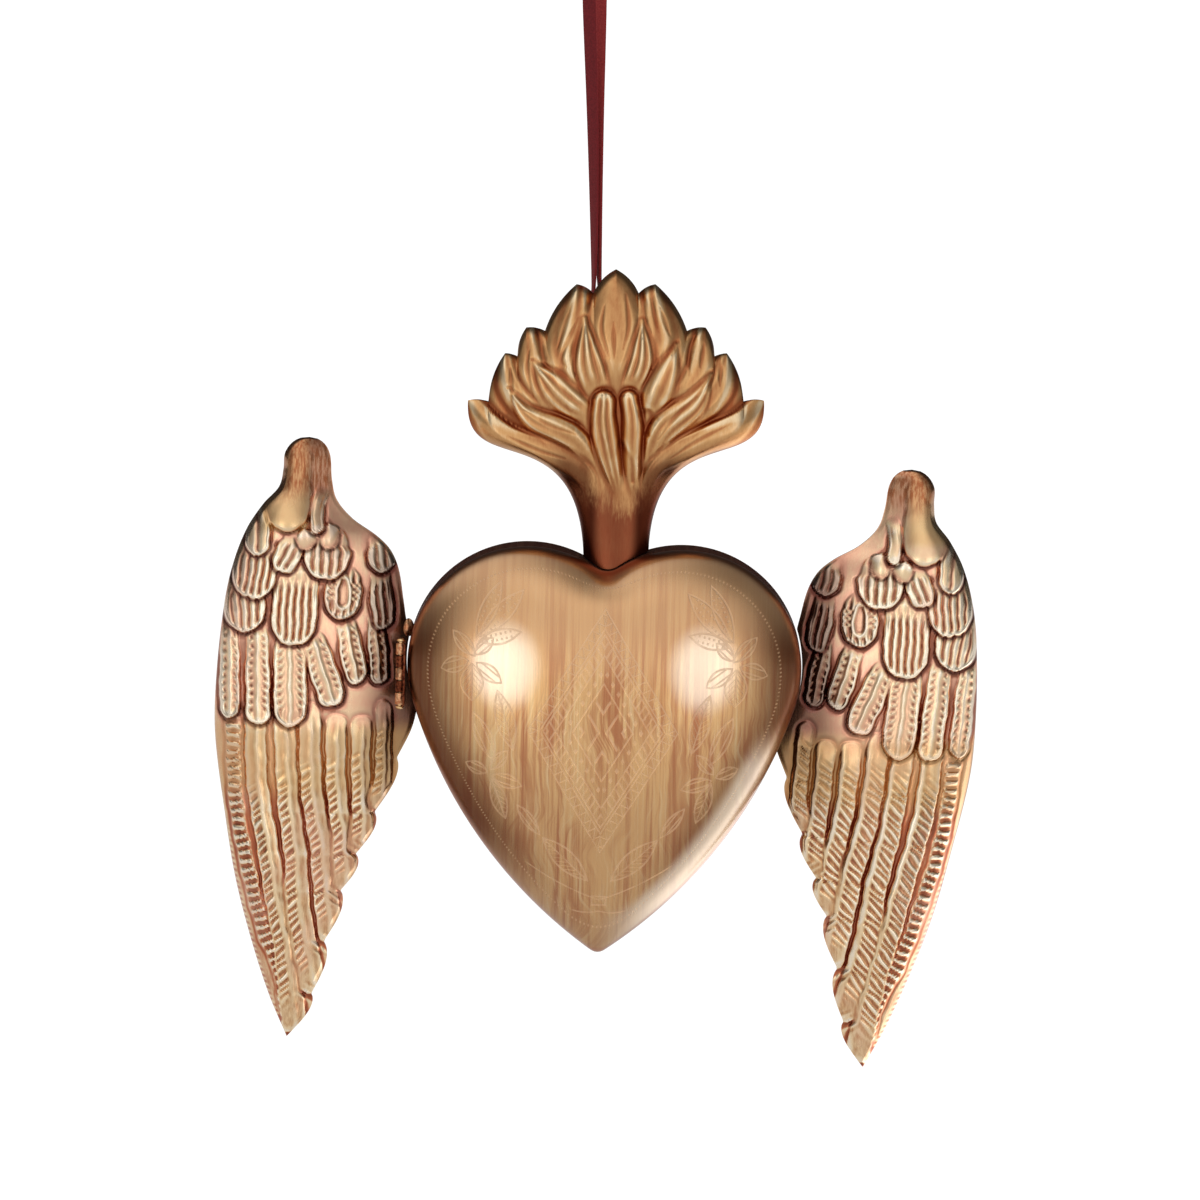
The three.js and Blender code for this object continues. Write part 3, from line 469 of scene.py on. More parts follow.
def flank_centre():
    """The flank touches the lobe from outside it and ends at the tip."""
    to_tip = np.array([-LOBE_X, -TIP_DROP - LOBE_Z])
    apart = np.hypot(*to_tip)
    inner = FLANK_RADIUS - LOBE_RADIUS
    ahead = (inner ** 2 - FLANK_RADIUS ** 2 + apart ** 2) / (2 * apart)
    aside = math.sqrt(inner ** 2 - ahead ** 2)
    ux, uz = to_tip / apart
    return LOBE_X + ahead * ux + aside * uz, LOBE_Z + ahead * uz - aside * ux


FLANK_X, FLANK_Z = flank_centre()


def to_circle(turn, x, z, radius, side):
    """Distance along a ray from the centre to a circle, to its far side (1) or near side (-1)."""
    middle = x * np.sin(turn) + z * np.cos(turn)
    return middle + side * np.sqrt(np.maximum(middle ** 2 - x ** 2 - z ** 2 + radius ** 2, 0))


def sharp_edge(angle, inset):
    """Distance from the centre to the outline drawn in by inset: whichever arc the ray meets."""
    turn = np.abs(np.arctan2(np.sin(angle), np.cos(angle)))
    lobe = LOBE_RADIUS - inset
    share = lobe / (LOBE_RADIUS + NOTCH_RADIUS)
    notch_end = np.arctan2(LOBE_X * (1 - share), LOBE_Z + (NOTCH_Z - LOBE_Z) * share)
    share = lobe / math.hypot(LOBE_X - FLANK_X, LOBE_Z - FLANK_Z)
    flank_start = np.arctan2(LOBE_X + (LOBE_X - FLANK_X) * share, LOBE_Z + (LOBE_Z - FLANK_Z) * share)
    notch = to_circle(turn, 0, NOTCH_Z, NOTCH_RADIUS + inset, -1)
    side = to_circle(turn, LOBE_X, LOBE_Z, lobe, 1)
    flank = to_circle(turn, FLANK_X, FLANK_Z, FLANK_RADIUS - inset, 1)
    return np.where(turn < notch_end, notch, np.where(turn < flank_start, side, flank))


def heart_edge(angle, inset=0.0, spread=EDGE_SOFTENING):
    """The same distance, averaged over a spread of degrees to either side."""
    samples = 6
    total = 0
    for n in range(-samples, samples + 1):
        total = total + sharp_edge(angle + np.radians(spread) * n / samples, inset)
    return total / (2 * samples + 1)


def round_heart(steps):
    """Angles round the heart from the notch, as a column."""
    return (np.arange(steps) * 2 * math.pi / steps)[:, None]


def heart_loop(steps, inset, y):
    """Carries a section round the heart: its insets and depths become points at every angle."""
    angle = round_heart(steps)
    reach = heart_edge(angle, inset)
    return np.stack([reach * np.sin(angle), y + 0 * reach, reach * np.cos(angle)], -1)


print("flank centre:", round(FLANK_X, 2), round(FLANK_Z, 2), " notch fillet:", round(NOTCH_Z, 2))

# %% [markdown]
# A dome's profile is a superellipse a little fuller than an ellipse, swept round the outline. Near
# the crown the outline is averaged over a wide spread of angles, so the valley under the notch
# starts sharp at the rim and fades away, as it does in pressed sheet.

# %% Domes
SHEET = 0.7
SEAM = 0.3
WALL_DEPTH = 9.5
DOME_RISE = 12.5
DOME_FULLNESS = 2.1
DOME_SPREAD = 75.0


def dome_skin(steps, rings, inset, rise, facing, seat):
    """A dome's skin. With s from 0 at the crown to 1 at the rim, the ring's size is
    sin(s * 90) ^ (2 / fullness) and the height is rise * cos(s * 90) ^ (2 / fullness)."""
    angle = round_heart(steps)
    quarter = np.linspace(0, math.pi / 2, rings + 1)[None, :]
    ring = np.sin(quarter) ** (2 / DOME_FULLNESS)
    height = rise * np.maximum(np.cos(quarter), 0) ** (2 / DOME_FULLNESS)
    height[0, -1] = 0
    reach = ring * heart_edge(angle, inset, EDGE_SOFTENING + DOME_SPREAD * (1 - ring))
    y = seat + facing * height + 0 * reach
    return np.stack([reach * np.sin(angle), y, reach * np.cos(angle)], -1), ring + 0 * reach


def dome(steps, rings, facing, seat):
    """A dome's sheet, how far in from the rim each point of its outer skin lies, and a mask of its
    inner skin."""
    outer, ring = dome_skin(steps, rings, 0, DOME_RISE, facing, seat)
    inner, inner_ring = dome_skin(steps // 2, rings // 2, SHEET, DOME_RISE - SHEET, facing, seat)
    edge = heart_edge(round_heart(steps))
    nowhere = np.zeros(inner_ring.size)
    from_rim = np.concatenate([((1 - ring) * edge).ravel(), nowhere])
    inside = np.concatenate([np.zeros(ring.size), nowhere + 1])
    return sheet_shell(outer, inner, wrap=True), from_rim, inside


# %% [markdown]
# Worked brass isn't one colour. It is brushed up and down, so it is streaked in long upright
# strokes from straw to red-brown. The lid's darkening towards its edges is painted shade.
# The streaks are noise stretched fifty to eighty times along Z, two sizes of it over each other.

# %% Brushed brass of the heart
STRAW, BRASS, RED_BROWN, UMBER = "F2D09A", "E6B478", "B77348", "8A5C40"


def brushed_brass(name, pale=STRAW, mid=BRASS, red=RED_BROWN, dark=UMBER):
    """Satin brass streaked along Z. Returns the finish, its colour, its place and its strokes."""
    finish = Finish(name, metallic=1.0)
    place = finish.place()
    strokes = finish.noise(place, (1.0, 0.04, 0.022), detail=3, rough=0.6)
    fine = finish.noise(place, (5.0, 0.1, 0.06), detail=2, rough=0.6)
    patches = finish.noise(place, (0.07, 0.07, 0.035), detail=2)
    warmth = strokes * 0.7 + patches * 0.5 - 0.1
    colour = finish.paint(
        mid, (warmth.between(0.45, 0.66), red),
        ((fine * 0.5 + strokes * 0.5).between(0.49, 0.34) * 0.75, pale),
        (patches.between(0.6, 0.8) * 0.3, dark))
    return finish, colour, place, strokes, fine


def bold_strokes(finish, place):
    """Wide upright strokes, for where a coarse pad was pulled down over the sheet."""
    drift = finish.noise(place, (0.035, 0.02, 0.05), detail=2) - 0.5
    x, y, z = finish.parts(place)
    bent = finish.node("ShaderNodeCombineXYZ", values=[x + drift * 16, y, z])
    wide = finish.noise(bent, (0.3, 0.02, 0.028), detail=4, rough=0.6)
    narrow = finish.noise(bent, (1.5, 0.05, 0.06), detail=3, rough=0.6)
    return wide * 0.65 + narrow * 0.35


# %% [markdown]
# The lid is engraved. Leaf sprays and a flower sit on each shoulder, smaller sprays run down the
# flanks to a tied stem at the tip, and a dotted line follows the edge. Lines a fifth of a
# millimetre wide are too fine for a mesh, so they are drawn by arithmetic in the finish: each leaf
# has its own turned and scaled coordinates, in which its outline is the curve |v| = 1 - u * u.
# The middle holds a plain lozenge of zigzag, ladder and dot bands.

# %% Strokes of the graver
LINE, LINE_BLUR = 0.1, 0.12    # half width of a line and its soft edge
CIRCLE = 2 * math.pi
VEIN_PITCH, DOT_PITCH = 1.3, 1.1


def leaf(finish, place, root, tip, half_width, filling="veins"):
    """An engraved leaf from root to tip: its outline and its filling, as one mask."""
    (x0, z0), (x1, z1) = root, tip
    half_length = math.hypot(x1 - x0, z1 - z0) / 2
    turned = finish.node("ShaderNodeMapping", {"vector_type": "TEXTURE"}, {
        "Vector": place, "Location": ((x0 + x1) / 2, 0, (z0 + z1) / 2),
        "Rotation": (0, -math.atan2(z1 - z0, x1 - x0), 0), "Scale": (half_length, 1, half_width),
    })
    u, _, v = finish.parts(turned)
    outline = (abs(v) + u * u - 1) * half_width * 0.8
    inside = outline.between(0.05, -0.1)
    marks = outline.line(LINE, LINE_BLUR)
    if filling == "veins":
        slant = (u * half_length - abs(v) * half_width * 1.2) * (CIRCLE / VEIN_PITCH)
        drawn = slant.math("SINE").between(0.62, 0.95) * 0.7
        drawn = drawn.math("MAXIMUM", (v * half_width).line(LINE, LINE_BLUR))
    elif filling == "dots":
        row = (abs(v) - 0.38) * half_width
        beat = (u * half_length * (CIRCLE / DOT_PITCH)).math("SINE")
        drawn = row.line(0.18, 0.12) * beat.between(0.2, 0.7)
    else:
        drawn = (abs(v) * half_width - 0.45 * half_width).line(LINE, LINE_BLUR)
        drawn = drawn * u.between(0.8, 0.5)
    return marks.math("MAXIMUM", drawn * inside)


# Root, tip, half width and filling of each leaf on one half of the heart, in millimetres outward
# from its middle and up from its centre.
LEAVES = [
    [(28.3, 15.3), (23.1, 27.3), 1.7, "dots"], [(27.6, 15.3), (18.2, 25.6), 1.9, "dots"],
    [(27.6, 14.2), (18.6, 16.6), 1.6, "dots"],
    [(28.6, 10.9), (33.4, 16.2), 1.4, "lines"], [(30.0, 9.8), (35.9, 7.8), 1.7, "lines"],
    [(28.6, 11.2), (24.6, 15.0), 1.3, "lines"], [(28.2, 9.4), (22.6, 5.2), 1.6, "lines"],
    [(29.2, 9.2), (28.9, 1.0), 2.4, "veins"],
    [(19.6, -9.5), (23.4, 3.4), 2.0, "veins"], [(23.8, -12.0), (28.6, -1.6), 1.7, "lines"],
    [(24.6, -14.2), (20.8, -9.8), 1.3, "lines"], [(24.2, -15.6), (17.6, -17.6), 1.5, "lines"],
    [(25.2, -15.0), (30.0, -13.0), 1.3, "lines"], [(24.2, -16.4), (21.0, -25.2), 1.6, "veins"],
    [(2.6, -38.6), (12.6, -29.2), 2.1, "veins"], [(13.4, -28.4), (18.4, -22.0), 1.2, "lines"],
]
LOZENGE_WIDTH = 16.5
LOZENGE_HEIGHT = 27.0
LOZENGE_MIDDLE = -5.0


def leaf_sprays(finish, place):
    """All the leaves, on both halves at once, because the outward distance has no sign."""
    x, y, z = finish.parts(place)
    folded = finish.node("ShaderNodeCombineXYZ", values=[abs(x), y, z])
    leaves = [leaf(finish, folded, *one) for one in LEAVES]
    outward = abs(x)
    stem = (z + 43.0 - outward * 0.33 - outward * outward * 0.01).line(LINE, LINE_BLUR)
    stem = stem * outward.between(16.5, 15.5)
    curl = (z + 45.6 + outward * 0.28 - outward * outward * 0.05).line(LINE, LINE_BLUR)
    curl = curl * outward.between(6.2, 5.4)
    tie = highest(outward - 1.5, abs(z + 43.2) - 1.0).line(LINE, LINE_BLUR)
    return highest(*leaves, stem, curl, tie)


def lozenge(finish, place):
    """Bands inside a lozenge. across is 1 on its edge and 0 in its middle, and beside runs along
    an edge. From outside in: a zigzag, a ladder of short strokes, a row of dots, a small star."""
    x, _, z = finish.parts(place)
    outward = abs(x) / LOZENGE_WIDTH
    upward = abs(z - LOZENGE_MIDDLE) / LOZENGE_HEIGHT
    across = outward + upward
    beside = outward - upward
    depth = (1 - across) * (LOZENGE_WIDTH * 0.85)
    borders = [(depth - level).line(LINE, LINE_BLUR) for level in (0.0, 2.2, 2.9, 5.2, 8.4)]
    zigzag = (beside * 15).math("PINGPONG", 1.0) * 1.7 - (depth - 0.25)
    zigzag = zigzag.line(0.16, LINE_BLUR) * depth.between(0.1, 0.3) * depth.between(2.1, 1.9)
    rungs = (beside * 62).math("SINE").between(0.35, 0.8)
    rungs = rungs * depth.between(2.9, 3.0) * depth.between(5.2, 5.1) * 0.8
    beads = (beside * 40).math("SINE").between(0.2, 0.8) * (depth - 6.8).line(0.28, 0.2)
    rays = (beside * 30).math("SINE").between(0.75, 0.95) * depth.between(9.0, 9.3)
    return highest(*borders, zigzag, rungs, beads, rays)


# %% The engraved lid
engraved, brass_colour, lid_place, lid_strokes, lid_fine = brushed_brass("engraved_brass")
from_rim = engraved.attribute("from_rim")
inside_lid = engraved.attribute("inside")
lid_x, _, lid_z = engraved.parts(lid_place)
bearing = lid_x.math("ARCTAN2", lid_z + 4)
dotted = (from_rim - 4.6).line(0.14, 0.12) * (bearing * 300).math("SINE").between(0.1, 0.7)
graving = highest(leaf_sprays(engraved, lid_place), lozenge(engraved, lid_place), dotted)
wear = engraved.noise(lid_place, (0.5, 0.5, 0.5)).between(0.3, 0.62)
graving = graving * (wear * 0.6 + 0.4) * (1 - inside_lid)

# %% [markdown]
# Polishing by hand leaves strokes where the pad was pulled down. Two pale spots on the shoulders
# are a painted highlight, the dark rim and flanks are painted shade, and a pale band low on the
# right flank is a painted reflection. Each is a mask, a value from 0 to 1 over the surface, and
# the colours are laid over each other through these masks like coats of paint.

# %% Where the lid is brushed, with its painted highlights and shade
bold = bold_strokes(engraved, lid_place)
patch = engraved.noise(lid_place, (0.05, 0.05, 0.04), detail=2).between(0.35, 0.6)
brushed = (lid_z.between(14.0, -8.0) * (patch * 0.6 + 0.3) + 0.05) * (1 - inside_lid * 0.7)
# Painted highlight: two pale spots on the shoulders, where the lamps shine.
highlight_x, highlight_z = (abs(lid_x) - 22.0) / 8.0, (lid_z - 9.0) / 10.0
highlight_and_wear = (highlight_x * highlight_x + highlight_z * highlight_z).between(1.3, 0.2) * (1 - inside_lid)
# Painted shade: the lid darkens within 12 mm of its rim, and more on its flanks.
rim_shade = from_rim.between(12.0, 0.0)
# Painted reflection: a pale band low on the right flank, near the rim.
reflection_low_right = lid_x.between(-2.0, 12.0) * lid_z.between(-2.0, -14.0) * from_rim.between(8.0, 4.5)
flank_shade = from_rim.between(15.0, 2.0) * lid_z.between(26.0, 12.0) * lid_z.between(-46.0, -24.0)
flank_shade = flank_shade * (1 - reflection_low_right)
# Coats from first to last: a plainer, darker tone towards the top, brushing strokes, darker towards the
# bottom, the painted highlight, painted shade at the rim, the painted reflection, painted shade on the
# flanks, copper at the very rim, and the pale engraved lines.
colour = engraved.paint(
    brass_colour,
    (lid_z.between(0.0, 20.0) * 0.75, "CB9B6C"),
    (bold.between(0.47, 0.6) * brushed, "BA7648"),
    (bold.between(0.45, 0.36) * brushed * 0.8, "F2D3A0"),
    (lid_z.between(-6.0, -30.0) * 0.3, "94643E"),
    (highlight_and_wear * 0.6, "FFEBD2"),
    (rim_shade * 0.5, "A27C5A"),
    (reflection_low_right * 0.55, "F0E4D2"),
    (flank_shade * 0.85, "5A2610"),
    (from_rim.between(1.3, 0.2) * 0.8, "A8643F"),
    (graving * 0.55, "E6BC92"),
)
roughness = lid_strokes * 0.1 + 0.19 + rim_shade * 0.06 + graving * 0.25
engraved.set(base_color=colour, roughness=roughness)
engraved.set(coat_weight=0.9 - flank_shade * 0.7, coat_roughness=0.1)
engraved.set(normal=engraved.bump(lid_fine * 0.35 + bold * 1.2 - graving * 1.2, 0.04, 0.6))

LID_STEPS, LID_RINGS = 520, 112
INSIDE_RIM_DISTANCE = 20    # past every edge shade, so that the inside gets none
shell, rim_distance, inside = dome(LID_STEPS, LID_RINGS, -1, -SEAM)
lid = add_piece("engraved_lid", "lid", "satin_brass", engraved.material, shell,
                from_rim=rim_distance + INSIDE_RIM_DISTANCE * inside, inside=inside)
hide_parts("lid_dome")

# %% [markdown]
# Inside, the sheet keeps the colour that the heat of soldering gave it, a matt bronze brown in
# the box and a brighter brushed gold in the lid. The box is a rolled wall, whose rim shows as a
# copper line round the lid, closed behind by the same dome as the lid's.

# %% Box
bronze, bronze_colour, _, bronze_strokes, bronze_fine = brushed_brass(
    "heat_darkened_bronze", "B08658", "8A5E3E", "75412A", "40281D")
outside = bronze.attribute("outside")
# The wall's outer face is painted near black-brown, and it is not metal.
bronze_colour = bronze.paint(bronze_colour, (outside * (bronze_strokes * 0.2 + 0.85), "3A1A10"))
bronze.set(base_color=bronze_colour, roughness=bronze_strokes * 0.2 + 0.3 + outside * 0.15)
bronze.set(normal=bronze.bump(bronze_fine, 0.03, 0.4), metallic=1 - outside, specular_ior_level=0.1)
dish_brass, dish_colour, _, dish_strokes, dish_fine = brushed_brass("dish_brass")
inside_dish = dish_brass.attribute("inside")
colour = dish_brass.paint(dish_colour, (inside_dish * 0.85, "85593A"))
dish_brass.set(base_color=colour, roughness=dish_strokes * 0.16 + 0.3 + inside_dish * 0.1)
dish_brass.set(normal=dish_brass.bump(dish_fine, 0.03, 0.4))

HEART_STEPS = 416
DISH_RINGS = 80
shell, _, inside = dome(HEART_STEPS, DISH_RINGS, 1, WALL_DEPTH)
dish = add_piece("domed_back", "box", "satin_brass", dish_brass.material, shell, inside=inside)
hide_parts("box_dish")

# %% Box wall
WALL_ROUND = 0.12
CORNER_BEND = 0.29    # how far a cut corner's middle stands out to the corner


def rounded_section(corners, radius, spacing=0.8):
    """A closed section with small cut corners and points spaced along its sides."""
    corners = np.array(corners, float)
    before, after = np.roll(corners, 1, 0) - corners, np.roll(corners, -1, 0) - corners
    start = corners + before / np.linalg.norm(before, axis=1, keepdims=True) * radius
    end = corners + after / np.linalg.norm(after, axis=1, keepdims=True) * radius
    bend = corners + (start - corners) * CORNER_BEND + (end - corners) * CORNER_BEND
    points = []
    for n in range(len(corners)):
        points += [start[n], bend[n]]
        side = np.roll(start, -1, 0)[n] - end[n]
        count = max(int(np.linalg.norm(side) / spacing), 1)
        points += [end[n] + side * k / count for k in range(count)]
    return np.array(points)


wall_section = rounded_section(
    [[0, 0], [SHEET, 0], [SHEET, WALL_DEPTH], [0, WALL_DEPTH]], WALL_ROUND)
wall_points = heart_loop(HEART_STEPS, wall_section[None, :, 0], wall_section[None, :, 1])
dark_outer_face = np.repeat(ease(0.1, 0.0, wall_section[None, :, 0]), HEART_STEPS, 0)
wall = add_piece("box_wall_sheet", "box", "bronze", bronze.material, closed_tube(wall_points),
                 outside=dark_outer_face)
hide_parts("box_wall")

# %% The lid's band, with its two catch dimples
FIT, BAND_SHORT = 0.35, 0.5    # gap to the wall, and to the bottom of the box
BAND_INSET = SHEET + FIT
BAND_TAPER = 2.5
BAND_TUCK = 0.5
BAND_RIM = WALL_DEPTH - BAND_SHORT
DIMPLE_RADIUS = 1.7
DIMPLE_PROUD = 1.1
DIMPLE_SETBACK = 3.2
DIMPLE_ANGLES = (0.0, 138.0)

band_top, band_rim_inset = -SEAM - BAND_TUCK, BAND_INSET + BAND_TAPER
band_line = rounded_section([
    [BAND_INSET, band_top], [BAND_INSET + SHEET, band_top], [BAND_INSET + SHEET, 0],
    [band_rim_inset + SHEET, BAND_RIM], [band_rim_inset, BAND_RIM], [BAND_INSET, 0],
], WALL_ROUND, spacing=0.45)
band_points = heart_loop(HEART_STEPS * 2, band_line[None, :, 0], band_line[None, :, 1])
for degrees in DIMPLE_ANGLES:
    y = BAND_RIM - DIMPLE_SETBACK
    reach = heart_edge(math.radians(degrees), BAND_INSET + BAND_TAPER * y / BAND_RIM)
    outward = np.array([math.sin(math.radians(degrees)), 0, math.cos(math.radians(degrees))])
    away = np.linalg.norm(band_points - (outward * reach + (0, y, 0)), axis=-1, keepdims=True)
    band_points = band_points + outward * DIMPLE_PROUD * np.exp(-(away / DIMPLE_RADIUS) ** 4)
band = add_piece("lid_band_sheet", "lid", "bronze", bronze.material, closed_tube(band_points))
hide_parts("lid_band")

# %% [markdown]
# The wings and the flame are stamped: the sheet was pressed into a die, which raised each feather
# and each tongue over the one below it and cut a deep line round its end. So their surface is a
# relief, a height at every point of a grid, and every feather is laid over what is already there.
# A feather is a line with a width at each place along it. Its outline is the width less the
# distance from the line, and its own pattern uses the place along and across that line.

# %% Relief tools
def bell(value, width):
    """1 at 0, falling off on both sides over the width."""
    return np.exp(-(value / width) ** 2)


def curve_through(points, steps=10):
    """A smooth open line through a few points, by the same cubic as the ribbon's."""
    points = np.array(points, float)
    if len(points) == 2:
        return points
    ends = np.concatenate([[2 * points[0] - points[1]], points, [2 * points[-1] - points[-2]]])
    return np.concatenate([smooth_loop(ends, steps)[steps:-2 * steps], points[-1:]])


class Line:
    """Where each point of a grid lies beside a line: along it from 0 to 1, and across it."""

    def __init__(self, x, z, points, widths):
        line = curve_through(points)
        steps = np.linalg.norm(np.diff(line, axis=0), axis=1)
        travelled = np.concatenate([[0], steps.cumsum()])
        self.length = travelled[-1]
        nearest = np.full(x.shape, np.inf)
        self.along, self.across = np.zeros(x.shape), np.zeros(x.shape)
        for n, (start, end) in enumerate(zip(line[:-1], line[1:])):
            (dx, dz), size = (end - start) / steps[n], steps[n]
            ahead = (x - start[0]) * dx + (z - start[1]) * dz
            inside = np.clip(ahead, 0, size)
            side = (x - start[0]) * dz - (z - start[1]) * dx
            away = np.hypot(ahead - inside, side)
            closer = away < nearest
            nearest = np.where(closer, away, nearest)
            self.along = np.where(closer, (travelled[n] + inside) / self.length, self.along)
            bend = ((ahead < 0) & (n > 0)) | ((ahead > size) & (n < len(steps) - 1))
            self.across = np.where(closer, np.where(bend, np.sign(side) * away, side), self.across)
            if n == 0:
                self.grown = widths[0] + ahead
        self.past = (ahead - size) / widths[-1]
        swelling = curve_through(list(zip(np.linspace(0, 1, len(widths)), widths)), 8)
        self.half_width = np.interp(self.along, swelling[:, 0], np.maximum(swelling[:, 1], 0))
        self.outline = self.half_width - nearest
        self.share = np.clip(self.across / np.maximum(self.half_width, 0.2), -1, 1)
        self.travel = self.along * self.length
        self.grown = np.where(self.along > 0, widths[0] + self.travel, self.grown)


def lay(height, line, own, lip=0.3, groove=0.35, groove_from=0.3, reach=0.32, root=0.1):
    """Lays a feather or tongue over the relief, with a chased line round its far end. It grows out
    of what lies below it over its first millimetres, its root."""
    inside = ease(-lip / 2, lip / 2, line.outline) * ease(0, root, line.grown)
    end = ease(groove_from - 0.25, groove_from + 0.15, line.along)
    chased = groove * bell(line.outline + reach, reach) * end * (1 - inside)
    return height * (1 - inside) + own * inside - chased


def flutes(line, count, depth):
    """Ridges that run along a feather, so many across it, fading where it starts and ends."""
    wave = np.cos(math.pi * count * line.share) * (-1) ** (count + 1)
    return depth * wave * ease(0.0, 0.25, line.along) * ease(0.15, 0.8, line.outline)


def local_height(height, reach):
    """How far each point stands over the mean of its surroundings on the grid: more than 0 on a
    ridge and less in a groove. It is what a polishing cloth touches, and what dirt fills."""
    mean = height
    for axis in (0, 1):
        window = np.ones(2 * reach + 1) / (2 * reach + 1)
        padded = np.pad(mean, [(reach, reach) if a == axis else (0, 0) for a in (0, 1)], "edge")
        sums = np.cumsum(padded, axis=axis)
        sums = np.concatenate([np.zeros_like(np.take(sums, [0], axis)), sums], axis)
        high = np.take(sums, range(len(window), sums.shape[axis]), axis)
        low = np.take(sums, range(sums.shape[axis] - len(window)), axis)
        mean = (high - low) / len(window)
    return height - mean


# %% [markdown]
# The flame is two stampings, front and back, soldered along their edges. Its fibres rise from the
# stem and fan out to a zigzag crown, so the grid follows them: one coordinate is a fibre, from the
# left edge to the right, and the other is the share of the way up it. Each fibre is a cubic curve.

# %% The flame's grid
STEM_HALF_WIDTH = 7.2
STEM_HALF_DEPTH = 3.9
CROWN_HALF_DEPTH = 6.4
FLAME_FOOT = np.array([1.9, WALL_DEPTH / 2, 33.7])
FLAME_LEAN = math.radians(1.4)
STEM_REACH = 4.6
STEM_WAIST = 6.5
FIBRE_RISE = 20.0
FIBRE_EXTRA = 12.0
FIBRE_FLARE = 1.3
TONGUE_RUN = 19.0
TONGUE_BELLY = 0.9
SOLDER = 0.3
CROWN_EDGE = np.array([
    [0, 62.1], [5.0, 56.8], [8.7, 58.8], [15.7, 48.4], [19.8, 49.2],
    [21.7, 42.6], [24.5, 43.5], [28.1, 32.7], [32.7, 33.0],
])


def crown_edge(share):
    """The crown's edge at a share from -1 (left) to 1: straight from tip to notch, swollen outward
    by 4 f (1 - f) times the belly."""
    place = np.abs(share) * (len(CROWN_EDGE) - 1)
    n = np.minimum(place.astype(int), len(CROWN_EDGE) - 2)
    f = (place - n)[..., None]
    start, end = CROWN_EDGE[n], CROWN_EDGE[n + 1]
    length = np.linalg.norm(end - start, axis=-1, keepdims=True)
    outward = np.stack([start[..., 1] - end[..., 1], end[..., 0] - start[..., 0]], -1) / length
    bulge = outward * 4 * f * (1 - f) * TONGUE_BELLY * np.minimum(length / 10, 1)
    point = start + (end - start) * f + bulge
    return np.sign(share) * point[..., 0], point[..., 1]


def fibre(share, climb):
    """The point at a share of the way up a fibre: a cubic curve with four control points. Only the
    last one follows the zigzag; the third follows a smooth arc, or each tip would crease the stem."""
    tip_x, tip_z = crown_edge(share)
    arc_x = CROWN_EDGE[-1, 0] * share * (1.19 - 0.19 * share ** 2)
    arc_z = CROWN_EDGE[0, 1] + (CROWN_EDGE[-1, 1] - CROWN_EDGE[0, 1]) * np.abs(share) ** 1.5
    rest = 1 - climb
    w0, w1, w2, w3 = rest ** 3, 3 * rest ** 2 * climb, 3 * rest * climb ** 2, climb ** 3
    x = (w0 * STEM_HALF_WIDTH * share + w1 * STEM_WAIST * share + w2 * (arc_x + FIBRE_FLARE * share)
         + w3 * tip_x)
    z = (-w0 * STEM_REACH + w1 * (FIBRE_RISE + FIBRE_EXTRA * share ** 2) + w2 * (arc_z - TONGUE_RUN)
         + w3 * tip_z)
    return x, z


def on_heart(x, y, z):
    """Leans a place of the flame and stands it on the heart."""
    c, s = math.cos(FLAME_LEAN), math.sin(FLAME_LEAN)
    return np.stack([x * c - z * s, y + 0 * x, x * s + z * c], -1) + FLAME_FOOT


def lobe_height(x):
    """Height of the heart's upper outline, drawn out by the solder gap, over a place across."""
    away = np.abs(x)
    notch_end = LOBE_X * NOTCH_RADIUS / (LOBE_RADIUS + NOTCH_RADIUS)
    notch = NOTCH_Z - np.sqrt(np.maximum((NOTCH_RADIUS - SOLDER) ** 2 - away ** 2, 0))
    lobe = LOBE_Z + np.sqrt(np.maximum((LOBE_RADIUS + SOLDER) ** 2 - (away - LOBE_X) ** 2, 0))
    return np.where(away < notch_end * 0.93, notch, lobe)


def first_climb(share):
    """Where each fibre leaves the heart, found by halving the interval."""
    low, high = np.zeros_like(share), np.full_like(share, 0.35)
    for _ in range(30):
        middle = (low + high) / 2
        point = on_heart(*np.insert(np.array(fibre(share, middle)), 1, 0, axis=0))
        above = point[..., 2] > lobe_height(point[..., 0])
        low, high = np.where(above, low, middle), np.where(above, middle, high)
    return (low + high) / 2


# %% [markdown]
# The tongues, from the back of the crown to the front. Each is a line from its root to its tip
# with half widths along it, a lift over its surroundings, and the number of flutes on it.

